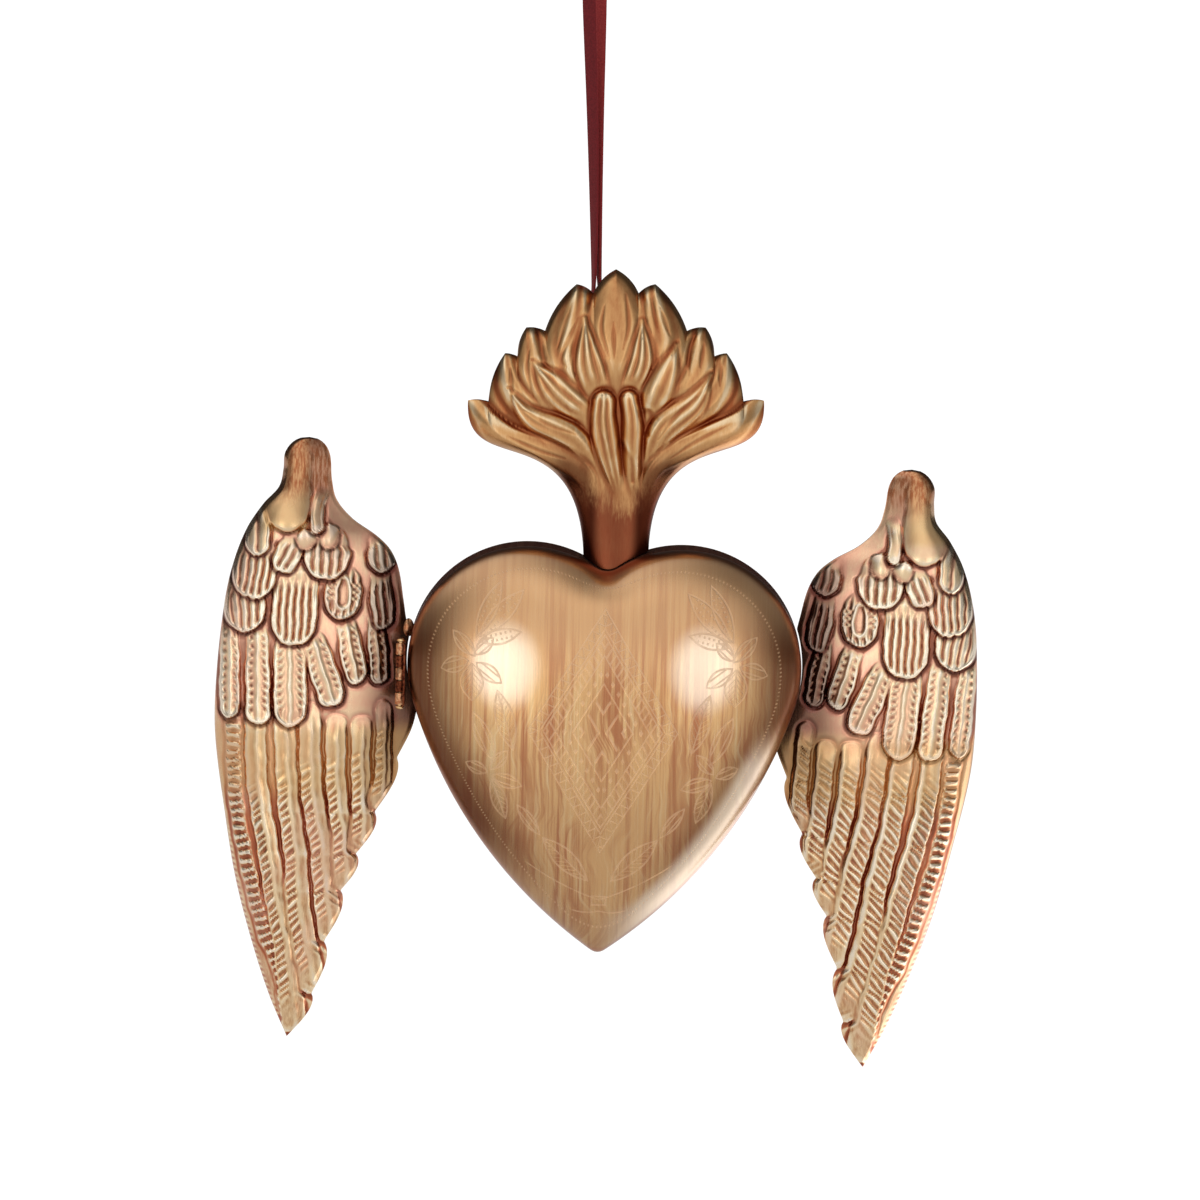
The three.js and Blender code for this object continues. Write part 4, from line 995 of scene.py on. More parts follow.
# %% Tongues of the flame
CROWN_PAIRS = [
    ([(15, 30), (21.5, 35), (24.4, 43.3)], [2.8, 3.6, 3.4, 1.6], 0.2, 2),
    ([(13, 33), (18.4, 40.5), (19.6, 49.2)], [3.4, 4.0, 3.8, 1.8], 0.35, 2),
    ([(8, 36), (11.2, 46), (8.6, 59)], [4.2, 5.6, 5.6, 2.6], 0.35, 3),
]
CROWN_TONGUES = [([(side * x, z) for x, z in points], *rest)
                 for points, *rest in CROWN_PAIRS for side in (-1, 1)]
CROWN_TONGUES.append(([(0, 38), (0.2, 50), (0, 62)], [3.8, 6.2, 6.0, 2.2], 0.45, 0))
NEAR_TONGUES = [
    ([(-4.2, 36), (-6.0, 42), (-6.9, 51.6)], [3.2, 3.7, 2.2, 0.2], 0.65, 3),
    ([(3.2, 36), (5.6, 42.5), (5.8, 51.0)], [2.4, 3.0, 2.2, 0.3], 0.65, 3),
    ([(-6.0, 30), (-12, 34.5), (-18.2, 41.8)], [2.6, 3.5, 3.1, 0.2], 0.8, 3),
    ([(6.6, 28), (10.2, 36.5), (13.4, 45.6)], [1.0, 3.4, 2.9, 0.4], 0.8, 2),
    ([(-3.6, 16), (-9.5, 24.6), (-19, 29.5), (-23.6, 35.4)], [1.4, 2.8, 3.3, 2.5, 0.3], 0.9, 2),
    ([(6.8, 17), (10.5, 26.4), (17.4, 32.5), (21, 39)], [1.2, 3.0, 3.6, 2.8, 0.3], 0.9, 3),
    ([(-5.0, 8), (-7.6, 16.5), (-15, 20.8), (-25.5, 24.6), (-32.5, 33.2)],
     [1.6, 3.0, 3.6, 3.8, 1.6], 0.7, 1),
    ([(6.3, 8), (8.4, 17), (14.5, 21.6), (26, 26.4), (32.5, 33.2)],
     [1.4, 2.2, 3.5, 3.8, 1.6], 0.7, 1),
    ([(0.6, 12), (-1.8, 22), (-2.8, 29), (-2.7, 33.3)], [0.9, 2.2, 2.8, 2.4], 0.75, 3),
    ([(4.2, 11), (3.6, 22), (3.6, 29), (2.9, 34)], [0.7, 1.7, 2.1, 1.8], 0.75, 2),
]
CHASED_LINES = [
    [(-9.7, 54.9), (-12.8, 45.3)], [(-8.2, 52.0), (-11.9, 43.5), (-10.8, 41.1)],
    [(-19.2, 44.6), (-19.6, 40.2), (-18.2, 34.4)], [(-23.3, 40.5), (-23.0, 33.0)],
    [(7.7, 56.0), (9.3, 48.8)], [(9.7, 54.2), (11.8, 48.0)], [(17.9, 48.3), (16.1, 44.8), (16.1, 39.1)],
    [(19.4, 46.0), (18.6, 41.0)], [(23.0, 42.6), (23.0, 36.7)], [(2.2, 57.0), (2.8, 50.0), (1.6, 45.0)],
    [(-2.6, 54.5), (-3.2, 49.0), (-1.4, 43.0)], [(-0.6, 51.0), (-0.4, 43.0)], [(-3.4, 27.0), (-1.2, 18.0)],
    [(-20.5, 31.5), (-14.5, 28.3), (-9.0, 26.2)], [(17.8, 34.5), (13.6, 30.6), (9.4, 25.0)],
    [(-24.0, 25.6), (-17.0, 22.4), (-11.0, 20.6)], [(25.5, 28.4), (18.0, 24.6), (12.2, 20.8)],
]
CHASED_WIDTH, CHASED_DEPTH = 0.42, 0.2
RECESSES = [
    ([(3.6, 15.6), (2.9, 20), (1.3, 24)], [0.2, 0.8, 0.2], 0.45),
    ([(7.0, 26), (6.8, 30.4)], [0.2, 1.3], 0.45),
]


def flame_relief(x, z):
    """Height of the tongues over the plain swell of the flame, in millimetres."""
    height = -0.15 * np.ones_like(x)
    for points, widths, lift, count in CROWN_TONGUES:
        line = Line(x, z, points, widths)
        own = lift + 0.8 * (1 - line.share ** 2) + 0.25 * line.along
        own = own + (flutes(line, count, 0.15) if count else -0.3 * bell(line.share, 0.5))
        height = lay(height, line, own, lip=1.4, groove=0.16, groove_from=0.1, reach=0.6, root=8.0)
    for points, widths, lift, count in NEAR_TONGUES:
        line = Line(x, z, points, widths)
        own = lift * ease(0, 0.6, line.along) + 0.95 * (1 - line.share ** 2)
        own = own + flutes(line, count, 0.15)
        own = height + (own - height) * ease(0.0, 1.9, line.half_width)
        under = ease(0.0, 0.7, line.share * np.sign(points[-1][0])) * (abs(points[-1][0]) > 8)
        height = lay(height, line, own, lip=1.1 + 2.9 * under, groove=0.2 * (1 - under),
                     groove_from=0.2, reach=0.5, root=0.45 * line.length)
    for points in CHASED_LINES:
        line = Line(x, z, points, [0.0, CHASED_WIDTH, CHASED_WIDTH, 0.05])
        height = height - CHASED_DEPTH * ease(-0.35, 0.4, line.outline)
    for points, widths, depth in RECESSES:
        line = Line(x, z, points, widths)
        height = height - depth * ease(-0.7, 0.6, line.outline)
    return height


def flame_half(steps, rows, facing, relief_share):
    """One stamping of the flame: its front grid, its rear grid, and its local height."""
    half_steps, half_rows = steps // 2, rows // 2

    def skin(across, up, inner):
        share, level = np.meshgrid(
            np.linspace(-1, 1, across + 1), np.linspace(0, 1, up + 1), indexing="ij")
        start = first_climb(share[:, :1])
        climb = start + (1 - start) * (1 - (1 - level) ** 1.25)
        x, z = fibre(share, climb)
        spread = np.sin(np.minimum(climb * 1.5, 1) * (math.pi / 2)) ** 2
        swell = STEM_HALF_DEPTH + (CROWN_HALF_DEPTH - STEM_HALF_DEPTH) * spread
        roundness = np.sqrt(np.maximum(1 - share ** 2, 0)) * np.sqrt(np.maximum(1 - climb ** 5, 0))
        relief = flame_relief(x, z) * relief_share
        inside = SHEET if inner else 0
        shown = relief * ease(0, 0.45, roundness) * ease(0.02, 0.3, climb)
        depth = np.maximum(roundness * swell + shown - inside, 0)
        depth = np.where(roundness < 1e-6, 0, depth)
        edge_x = np.maximum(fibre(np.ones_like(climb), climb)[0], 1)
        shrink = 1 - inside / edge_x
        z = z - np.where(level == 1, inside, 0)
        return on_heart(x * shrink, facing * depth, z), relief, roundness

    front, relief, _ = skin(steps, rows, False)
    rear, rear_relief, _ = skin(half_steps, half_rows, True)
    polish = np.concatenate([local_height(relief, 5).ravel(), 0 * rear_relief.ravel()])
    return sheet_shell(front, rear), polish


# %% Flame
def stamped_metal(name):
    """The finish of a stamping, its place, and two noises: slow mottle and upright strokes."""
    finish = Finish(name, metallic=1.0)
    place = finish.place()
    mottle = finish.noise(place, (0.22, 0.22, 0.16), detail=4)
    strokes = finish.noise(place, (2.2, 2.2, 0.35), detail=4, rough=0.65)
    return finish, place, mottle, strokes


def rubbed(finish, mottle, strokes, body, ridge, pale, groove):
    """Colour of a stamping: rubbed bright on its ridges and left dark with patina in its grooves.
    Its palest coat, on the highest ridges, is partly a painted highlight.
    """
    highlight_and_wear = finish.attribute("polish") + (mottle - 0.5) * 0.2 + (strokes - 0.5) * 0.14
    return finish.paint(
        body, (highlight_and_wear.between(-0.1, 0.1), ridge), (highlight_and_wear.between(0.06, 0.24) * 0.75, pale),
        (highlight_and_wear.between(-0.07, -0.26) * 0.85, groove))


FLAME_GRIDS = [("front", 320, 230, -1, 1.0), ("back", 224, 160, 1, 0.8)]

flame_brass, place, mottle, strokes = stamped_metal("flame_brass")
flame_x, _, flame_z = flame_brass.parts(place)
from_stem = abs(flame_x - 1.6)
stem_share = ((flame_z - 48.0) + (strokes - 0.5) * 9).between(3.0, -7.0)
streak = (flame_x - 3.4).line(1.3, 1.6) * (flame_z + (strokes - 0.5) * 8).between(40.0, 46.0)
# Painted shade under the flare's lower tongues, beside the stem.
shade_under_flare = from_stem.between(4.5, 7.0) * from_stem.between(17.0, 11.0)
shade_under_flare = shade_under_flare * (flame_z - from_stem * 0.35).between(53.5, 49.0)
# The stem's lower part is red-brown with a narrow brass streak, and its sides are painted near black as
# painted shade.
colour = flame_brass.paint(
    rubbed(flame_brass, mottle, strokes, "AE7248", "D4A26C", "F6DEB6", "8E4A2A"),
    (stem_share * (1 - streak) * 0.85, "7E3826"),
    (stem_share * from_stem.between(3.2, 5.6) * 0.9, "3C150C"),
    (shade_under_flare * 0.75, "5E2A18"),
)
flame_brass.set(base_color=colour, roughness=mottle * 0.14 + 0.24)
flame_brass.set(normal=flame_brass.bump(strokes + mottle, 0.04, 0.5))

for half, steps, rows, facing, relief_share in FLAME_GRIDS:
    shell, polish_values = flame_half(steps, rows, facing, relief_share)
    flame_piece = add_piece(
        f"flame_{half}_stamping", "box", "satin_brass", flame_brass.material, shell,
        polish=polish_values)
    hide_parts(f"flame_{half}")

# %% [markdown]
# Each wing is one sheet, arched across like a shallow gutter and soldered to the heart's side by
# its inner edge. Both are struck from the same die, one mirrored, and each was fixed by eye, so
# they stand at slightly different heights. Places on the die are outward from the heart's side
# and up from its centre.

# %% The wing's grid
WING_OUTER_EDGE = np.array([
    [23.2, 55.2], [24.9, 55.0], [26.2, 54.4], [27.5, 53.2], [28.5, 51.2], [28.6, 47.8], [29.4, 43.7],
    [32.6, 39.8], [36.0, 34.0], [38.6, 26.0], [40.0, 17.5], [40.9, 2.0], [40.5, -12.0], [37.1, -31.0],
    [34.1, -44.6], [29.8, -58.3], [25.2, -70.3], [20.8, -79.3],
])
WING_INNER_EDGE = np.array([
    [23.2, 55.2], [21.6, 55.0], [20.4, 54.4], [19.2, 53.2], [18.3, 51.0], [17.7, 46.0], [16.3, 41.5],
    [12.5, 37.5], [7.2, 34.2], [3.9, 31.2], [1.8, 27.0], [0.3, 20.0], [-0.8, 15.0], [-3.5, 9.0],
    [-4.2, 0], [-3.3, -7.7], [-0.1, -15.4],
])
WING_NOTCHES = np.array([
    [-0.1, -15.4], [4.2, -27.8], [7.8, -37.4], [10.7, -45.8], [13.8, -57.5], [15.9, -69.4], [20.8, -79.3],
])
WING_EVEN_EDGE = np.concatenate([WING_INNER_EDGE, WING_NOTCHES[1:] - (0.6, 0)])
SCALLOP_BULGE = 1.6
WING_TOP, WING_TIP = 55.2, -79.3
WING_EDGE_SETBACK = 0.6
WING_EDGE_Y = WALL_DEPTH - WING_EDGE_SETBACK - SHEET
WING_BELLY = 5.4
WING_FULL_WIDTH = 22.0
FULLNESS_BEND = 10
WING_PIVOT = 5.0
# side, how far outward and how far up it is fixed, its turn in degrees, and how far its barbs reach
WING_PLACES = {"left": (-1, 1.5, 0.5, 2.0, -0.1), "right": (1, -1.5, -1.8, -2.0, 0.4)}
WING_COLUMNS, WING_ROWS = 192, 410


def smooth_edge(points, z):
    """The cubic through the points as x over z, with the slope between neighbours at each."""
    x, level = points[::-1, 0], points[::-1, 1]
    slope = np.empty(len(x))
    slope[1:-1] = (x[2:] - x[:-2]) / (level[2:] - level[:-2])
    slope[0] = (x[1] - x[0]) / (level[1] - level[0])
    slope[-1] = (x[-1] - x[-2]) / (level[-1] - level[-2])
    n = np.clip(np.searchsorted(level, z, side="right") - 1, 0, len(x) - 2)
    run = level[n + 1] - level[n]
    f = np.clip((z - level[n]) / run, 0, 1)
    return (x[n] * (1 + 2 * f) * (1 - f) ** 2 + slope[n] * run * f * (1 - f) ** 2
            + x[n + 1] * f * f * (3 - 2 * f) - slope[n + 1] * run * f * f * (1 - f))


def inner_edge(z):
    """Smooth down to the first notch, then one scallop for each long feather."""
    x, level = WING_NOTCHES[::-1, 0], WING_NOTCHES[::-1, 1]
    n = np.clip(np.searchsorted(level, z, side="right") - 1, 0, len(x) - 2)
    f = np.clip((level[n + 1] - z) / (level[n + 1] - level[n]), 0, 1)
    scallop = x[n + 1] + (x[n] - x[n + 1]) * f - SCALLOP_BULGE * np.sin(math.pi * f ** 0.7)
    return np.where(z >= WING_NOTCHES[0, 1], smooth_edge(WING_INNER_EDGE, z), scallop)


def heart_side(z):
    """Half the width of the heart at a height, drawn out by the solder gap."""
    lobe = LOBE_X + np.sqrt(np.maximum((LOBE_RADIUS + SOLDER) ** 2 - (z - LOBE_Z) ** 2, 0))
    flank = FLANK_X + np.sqrt(np.maximum((FLANK_RADIUS + SOLDER) ** 2 - (z - FLANK_Z) ** 2, 0))
    apart = math.hypot(LOBE_X - FLANK_X, LOBE_Z - FLANK_Z)
    tangent = LOBE_Z + (LOBE_Z - FLANK_Z) * LOBE_RADIUS / apart
    inside = np.where(z > LOBE_TOP + SOLDER, 0, np.where(z > tangent, lobe, flank))
    return np.where(z < -TIP_DROP, 0, inside)


# %% [markdown]
# The feathers, from the far ones to the near ones. A long feather is a line and its half widths;
# its inner side is smooth or barbed and its quill is a row of rungs. A short feather ends in a
# rounded tip and is ribbed along, across or slantwise.

# %% Feathers
LONG_FEATHERS = [
    ([(36.8, -6), (35.0, -25.7), (31.4, -41.1), (26.6, -56.2), (23.1, -63.8), (20.6, -78.6)],
     1.7, "rungs"),
    ([(31.6, -6), (30.4, -21.2), (26.8, -37.7), (24.8, -47.6), (22.2, -58), (19.4, -75.6)],
     2.4, "barbs"),
    ([(25.2, -6), (23.2, -25.2), (21.0, -37.3), (19.6, -50), (15.6, -66.8)], 2.5, "barbs"),
    ([(19.6, -6), (18.2, -22.7), (15.6, -34.5), (14.4, -43), (12.6, -54.8)], 2.5, "barbs"),
    ([(13.6, -8), (12.8, -22), (10.6, -34), (9.6, -43.4)], 2.3, "barbs"),
    ([(8.0, -8), (7.6, -18), (6.8, -27), (6.4, -34.9)], 2.2, "barbs"),
    ([(3.2, -4), (2.8, -14), (2.6, -25.0)], 1.8, "barbs"),
]
SHORT_FEATHERS = [
    ([(38.4, 12), (37.4, -5.6)], [1.9, 2.3, 2.3], "shaft", 2),
    ([(32.2, 12), (31.0, -6.0)], [2.3, 2.8, 2.8], "shaft", 3),
    ([(24.9, 11), (23.9, -5.2)], [3.2, 3.75, 3.7], "shaft", 4),
    ([(19.3, 10), (15.2, -1.0)], [2.6, 3.1, 3.1], "shaft", 3),
    ([(12.5, 14), (9.9, 3.8)], [2.2, 2.65, 2.6], "shaft", 3),
    ([(6.3, 16), (4.6, 3.6)], [1.8, 2.2, 2.2], "shaft", 2),
    ([(5.8, 25), (4.5, 16)], [2.2, 2.6, 2.4], "ribs", 3),
    ([(24.2, 24), (24.2, 14.3)], [5.0, 5.1, 5.0], "ribs", 6),
    ([(13.6, 24), (13.7, 19.6)], [3.6, 4.1, 4.1], "pebbles", 3),
    ([(35.8, 21), (35.3, 16.2)], [4.2, 4.75, 4.7], "ribs", 5),
    ([(33.2, 29), (33.6, 24.2)], [4.4, 5.1, 5.0], "ribs", 6),
    ([(17.6, 32), (17.7, 29.2)], [4.4, 5.1, 5.0], "ribs", 5),
    ([(6.3, 33), (5.6, 29.2)], [2.4, 3.0, 3.0], "ribs", 3),
    ([(25.2, 32), (26.9, 28.2)], [2.6, 3.0, 2.9], "ribs", 3),
    ([(34.0, 40), (33.2, 31.6)], [2.2, 2.9, 2.8], "ribs", 2),
    ([(22.5, 33.3), (22.5, 32.8)], [2.0, 2.0], "plain", 1),
    ([(17.2, 34.6), (17.2, 33.2)], [2.0, 2.0], "plain", 1),
    ([(19.8, 43.2), (20.4, 40), (20.2, 35.8)], [1.5, 1.6, 1.5], "ribs", 1),
    ([(27, 50), (27, 39.6)], [4.8, 5.0], "pad", 1),
]
# Share of a feather where its chased line begins, width of its lip, and length of its root.
FEATHER_ROOTS = {"pad": (0.85, 1.0, 13.0), "plain": (0.3, 0.5, 0.1), "other": (0.4, 0.5, 3.5)}


def short_feather(line, kind, count):
    """Height of a short feather: it rises to its end, with a rounded lip round that end. Inside the
    lip are ribs along it, or a smooth shaft between two rows of barbs, or pebbles round an oval."""
    if kind in ("pad", "plain"):
        run = 1.2 * line.half_width
        beyond = np.maximum(line.past * line.half_width + run, 0) / (run + line.half_width)
        return 0.65 + 0.5 * (1 - np.minimum(line.share ** 2 + beyond ** 2, 1.2))
    height = 0.5 + 0.45 * line.along + 0.3 * (1 - line.share ** 2)
    height = height + 0.26 * bell(line.outline - 0.45, 0.36) * ease(0.2, 0.7, line.along)
    within = ease(0.65, 1.05, line.outline)
    if kind == "ribs":
        ribs = np.cos(math.pi * count * line.share) * (-1) ** (count + 1)
        ribs = 1 - 2 * ((1 - ribs) / 2) ** 2
        return height + (0.24 * ribs - 0.06) * within * ease(-0.1, 0.3, line.along)
    if kind == "shaft":
        side = np.abs(line.across)
        row = bell(side - 0.6 * line.half_width, 0.45)
        barbs = np.cos(2 * math.pi * (line.travel - 0.5 * side) / 1.75)
        return height + (0.3 * bell(line.across, 0.55) + 0.24 * row * barbs - 0.08) * within
    pebbles = np.cos(2 * math.pi * line.travel / 1.5) * np.cos(2 * math.pi * line.across / 1.6)
    oval = 0.3 * bell(line.outline - 2.6, 0.45) - 0.25 * ease(2.9, 3.4, line.outline)
    return (height + oval
            + 0.22 * pebbles * ease(0.3, 0.7, line.outline) * ease(2.4, 1.9, line.outline))


def long_feather(line, kind, reach):
    """Height of a long feather: a comb of level rungs, or slanting barbs beside a smooth vane. The
    barbs reach inward to that share of the half width, and leave the rounded end smooth."""
    begins = ease(0.16 - 0.25 * reach, 0.3 - 0.25 * reach, line.along)
    begins = begins * ease(0.98, 0.86, line.along)
    body = ease(0.1, 0.55, line.outline)
    if kind == "rungs":
        rung = ease(-0.2, 0.7, np.cos(2 * math.pi * line.travel / 1.9))
        return 0.3 + 0.5 * rung * body
    beat = line.travel + 0.65 * line.across + 0.25 * np.sin(1.1 * line.travel)
    barb = ease(-0.5, 0.8, np.cos(2 * math.pi * beat / 1.75))
    barbed = ease(reach + 0.12, reach - 0.12, line.share)
    vane = 0.55 + 0.3 * bell(line.share - reach - 0.25, 0.28) + 0.15 * (1 - line.share ** 2)
    return vane + 0.38 * (barb - 0.55) * barbed * begins * body


def wing_relief(x, z, reach):
    """Height of the feathers over the plain arch, in millimetres, and the painted shadow, over
    patina, under each short feather's end as a share. Places waver by a sixth of a millimetre, as
    on hand-cut dies."""
    inner, outer = inner_edge(z), smooth_edge(WING_OUTER_EDGE, z)
    serrated = np.cos(2 * math.pi * z / 1.3) * bell(outer - x - 0.3, 0.5) * ease(-30, -40, z)
    height = 0.15 + 0.12 * serrated
    crescent = np.zeros_like(x)
    hatch = np.cos(2 * math.pi * (z - 0.75 * x) / 1.7)
    hatch = hatch * ease(3.6, 2.2, x - inner) * ease(-26, -32, z)
    hatch = hatch * ease(-0.2, 0.6, np.cos(2 * math.pi * (z + 36) / 11.0))
    x, z = (x + 0.11 * np.sin(0.7 * z + 0.45 * x) + 0.05 * np.sin(1.9 * z - 0.8 * x + reach * 9),
            z + 0.14 * np.sin(1.3 * x + 0.5 * z))
    for points, half_width, kind in LONG_FEATHERS:
        end_width = half_width * 0.8 if kind == "rungs" else 2.7
        line = Line(x, z, points, [half_width, half_width, half_width * 1.05, end_width])
        height = lay(height, line, long_feather(line, kind, reach), lip=0.6, groove=0.16,
                     groove_from=0.0, reach=0.35, root=7.0)
    height = height + 0.09 * hatch
    for points, widths, kind, count in SHORT_FEATHERS:
        line = Line(x, z, points, widths)
        begins, lip, root = FEATHER_ROOTS.get(kind, FEATHER_ROOTS["other"])
        height = lay(height, line, short_feather(line, kind, count), lip, 0.2, begins, 0.35, root)
        under = bell(line.outline + 0.4, 0.4)
        under = under * ease(-0.7, 0.6, line.past) * ease(3.0, 1.5, line.past)
        inside = ease(-0.2, 0.2, line.outline)
        crescent = np.maximum(crescent * (1 - inside), under * (1 - inside))
    return height, crescent


def wing_sheet(columns, rows, place, behind):
    """A wing's grid: share across from its outer edge to its inner one, and height down it."""
    side, outward, lift, turn, barb_reach = place
    c, s = math.cos(math.radians(turn)), math.sin(math.radians(turn))
    share = np.linspace(0, 1, columns + 1)[:, None]
    down = np.linspace(0, 1, rows + 1)[None, :]
    z = WING_TOP + (WING_TIP - WING_TOP) * down * (1 - 0.8 * np.exp(-down / 0.015))
    up = z - WING_PIVOT
    outer = smooth_edge(WING_OUTER_EDGE, z)
    plain = inner_edge(z)
    level = WING_PIVOT + lift + plain * s + up * c
    clear = (heart_side(level) - HALF_WIDTH - outward + up * s) / c
    inner = np.minimum(np.maximum(plain, clear), outer)
    x = outer + (inner - outer) * share
    z = z + 0 * x
    up = z - WING_PIVOT
    even = np.minimum(smooth_edge(WING_EVEN_EDGE, z), outer)
    width = outer - even
    across = np.clip((outer - x) / np.maximum(width, 1e-6), 0, 1)
    # the smaller of width / full width and 1, with the bend between them softened
    fullness = -np.log(np.exp(-FULLNESS_BEND * width / WING_FULL_WIDTH)
                       + np.exp(-FULLNESS_BEND)) / FULLNESS_BEND
    arch = np.sin(math.pi * across ** 0.6) ** 1.1 * np.maximum(fullness, 0)
    width = outer - plain
    across = np.clip((outer - x) / np.maximum(width, 1e-6), 0, 1)
    relief, crescent = wing_relief(x, z, barb_reach)
    edge = ease(0, 0.12, np.minimum(across, 1 - across) * np.maximum(width, 1) / 10)
    y = WING_EDGE_Y - arch * WING_BELLY - relief * edge * ease(0, 3, width) + behind
    points = np.stack([
        side * (HALF_WIDTH + outward + x * c - up * s), y, WING_PIVOT + lift + x * s + up * c], -1)
    return points, relief, crescent


# %% Wings
wing_copper, place, mottle, strokes = stamped_metal("wing_copper")
wing_x, _, wing_z = wing_copper.parts(place)
upper_part = wing_z.between(-22.0, 2.0)
ground = wing_copper.mix(upper_part, "BE6A44", "F0B294")
body = wing_copper.mix(strokes.between(0.4, 0.62), "C28A5C", "DDAE7A")
body = wing_copper.mix(upper_part, body, "EEBC98")
body = wing_copper.mix(wing_copper.attribute("rise").between(0.22, 0.6), ground, body)
rose = wing_copper.noise(place, (0.09, 0.09, 0.05), detail=2).between(0.48, 0.66)
# Painted shade: the wing is painted near black-brown close to the heart's side, where it faces it.
shade_near_heart = abs(wing_x).between(57.0, 47.0)
shade_near_heart = shade_near_heart * wing_z.between(-34.0, -8.0) * wing_z.between(40.0, 26.0)
pad_gold = (abs(wing_x) - 71.5).line(4.0, 2.0) * wing_z.between(35.0, 37.5)
band_gold = wing_z.between(-5.0, -10.0) * wing_z.between(-26.0, -19.0) * 0.7
stub = wing_z.between(40.0, 47.0)
colour = wing_copper.paint(
    rubbed(wing_copper, mottle, strokes, body, "F6D8AC", "FFF2DE", "8A452A"),
    (rose * 0.35, "E9AC90"),
    # Painted shadow, over patina, in the chased line under each short feather's end.
    (wing_copper.attribute("crescent") * 0.85, "4A1E14"),
    (shade_near_heart * 0.86, "541F14"),
    (highest(pad_gold, band_gold) * 0.6, "DDB070"),
    (stub * (strokes.between(0.38, 0.62) * 0.5 + 0.45), "A45A30"),
)
wing_copper.set(base_color=colour, roughness=mottle * 0.12 + 0.2)
wing_copper.set(coat_weight=0.4, coat_roughness=0.1)
wing_copper.set(normal=wing_copper.bump(strokes + mottle, 0.04, 0.5))

for name, place in WING_PLACES.items():
    front, relief, crescent = wing_sheet(WING_COLUMNS, WING_ROWS, place, 0.0)
    rear, rear_relief, _ = wing_sheet(WING_COLUMNS // 2, WING_ROWS // 2, place, SHEET)
    plain = np.zeros(rear_relief.size)
    wing_piece = add_piece(
        f"stamped_wing_{name}", "box", "copper_brass", wing_copper.material, sheet_shell(front, rear),
        polish=np.concatenate([local_height(relief, 5).ravel(), plain]),
        rise=np.concatenate([relief.ravel(), plain + 0.5]),
        crescent=np.concatenate([crescent.ravel(), plain]),
    )
    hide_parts(f"wing_{name}")

# %% [markdown]
# The hinge is the smallest part and the only one that works: two thin leaves, one soldered to the
# box and one to the lid, rolled at their edges into five knuckles round one pin. The pin's ends
# are riveted over into round heads. Knuckles and heads are profiles turned about the pin.

# %% Turned and straight pieces
HINGE_X, HINGE_Y = -45.05, -0.15
HINGE_LOW, KNUCKLE_PITCH, KNUCKLE_GAP = -1.6, 2.76, 0.15
BARREL_RADIUS, PIN_RADIUS = 1.1, 0.5
LEAF_LEFT, LEAF_RIGHT = -44.45, -43.95
RING_ROUND, PLATE_ROUND = 0.16, 0.14    # how far the edges of knuckles and leaves are rounded


def about_axis(profile, x, y, steps):
    """A profile of radius and height carried round an upright axis, as a grid."""
    profile = np.array(profile, float)
    angle = (np.arange(steps) * 2 * math.pi / steps)[:, None]
    radius, level = profile[None, :, 0], profile[None, :, 1]
    return np.stack([x + radius * np.sin(angle), y + radius * np.cos(angle), level + 0 * angle], -1)


def turned(profile, x, y, steps=40):
    """A solid turned about an upright axis, on which its profile starts and ends."""
    return capped(about_axis(profile, x, y, steps))


def rolled_ring(low, high, radius, bore, x, y, steps=44):
    """A short tube with rounded edges: a closed section carried round an upright axis."""
    section = rounded_section([[bore, low], [radius, low], [radius, high], [bore, high]], RING_ROUND)
    return closed_tube(about_axis(section, x, y, steps))


def small_plate(low, high, radius=PLATE_ROUND):
    """A straight plate with rounded edges: its outline in the plan drawn in at both ends."""
    (x0, y0, z0), (x1, y1, z1) = low, high
    outline = rounded_section([[x0, y0], [x1, y0], [x1, y1], [x0, y1]], radius)
    middle = np.array([(x0 + x1) / 2, (y0 + y1) / 2])
    rows = [(z0, 0.0), (z0, 1.0), (z0 + radius, 0.0), (z1 - radius, 0.0), (z1, 1.0), (z1, 0.0)]
    rings = []
    for n, (level, drawn_in) in enumerate(rows):
        away = outline - middle
        keep = 1 - drawn_in * radius / np.maximum(np.abs(away), radius)
        flat = middle + (0 * away if n in (0, len(rows) - 1) else away * keep)
        rings.append(np.column_stack([flat, np.full(len(flat), level)]))
    return capped(np.stack(rings, 1))


def solder_blob(x, y, z, size, seed):
    """A small frozen puddle: an ellipsoid whose radius is swollen by slow waves of its angles."""
    around = (np.arange(32) * 2 * math.pi / 32)[:, None]
    down = np.linspace(0, math.pi, 17)[None, :]
    swell = 1 + 0.12 * np.sin(3 * around + seed) * np.sin(down) + 0.08 * np.sin(2 * down + 2 * seed)
    flat, rise = np.sin(down), np.cos(down)
    unit = np.stack([flat * np.cos(around), flat * np.sin(around), rise + 0 * around], -1)
    return capped(unit * swell[..., None] * size + (x, y, z))


def knuckle_span(n):
    """Lower and upper end of a knuckle, counted from below."""
    low = HINGE_LOW + n * KNUCKLE_PITCH
    return low + KNUCKLE_GAP / 2, low + KNUCKLE_PITCH - KNUCKLE_GAP / 2


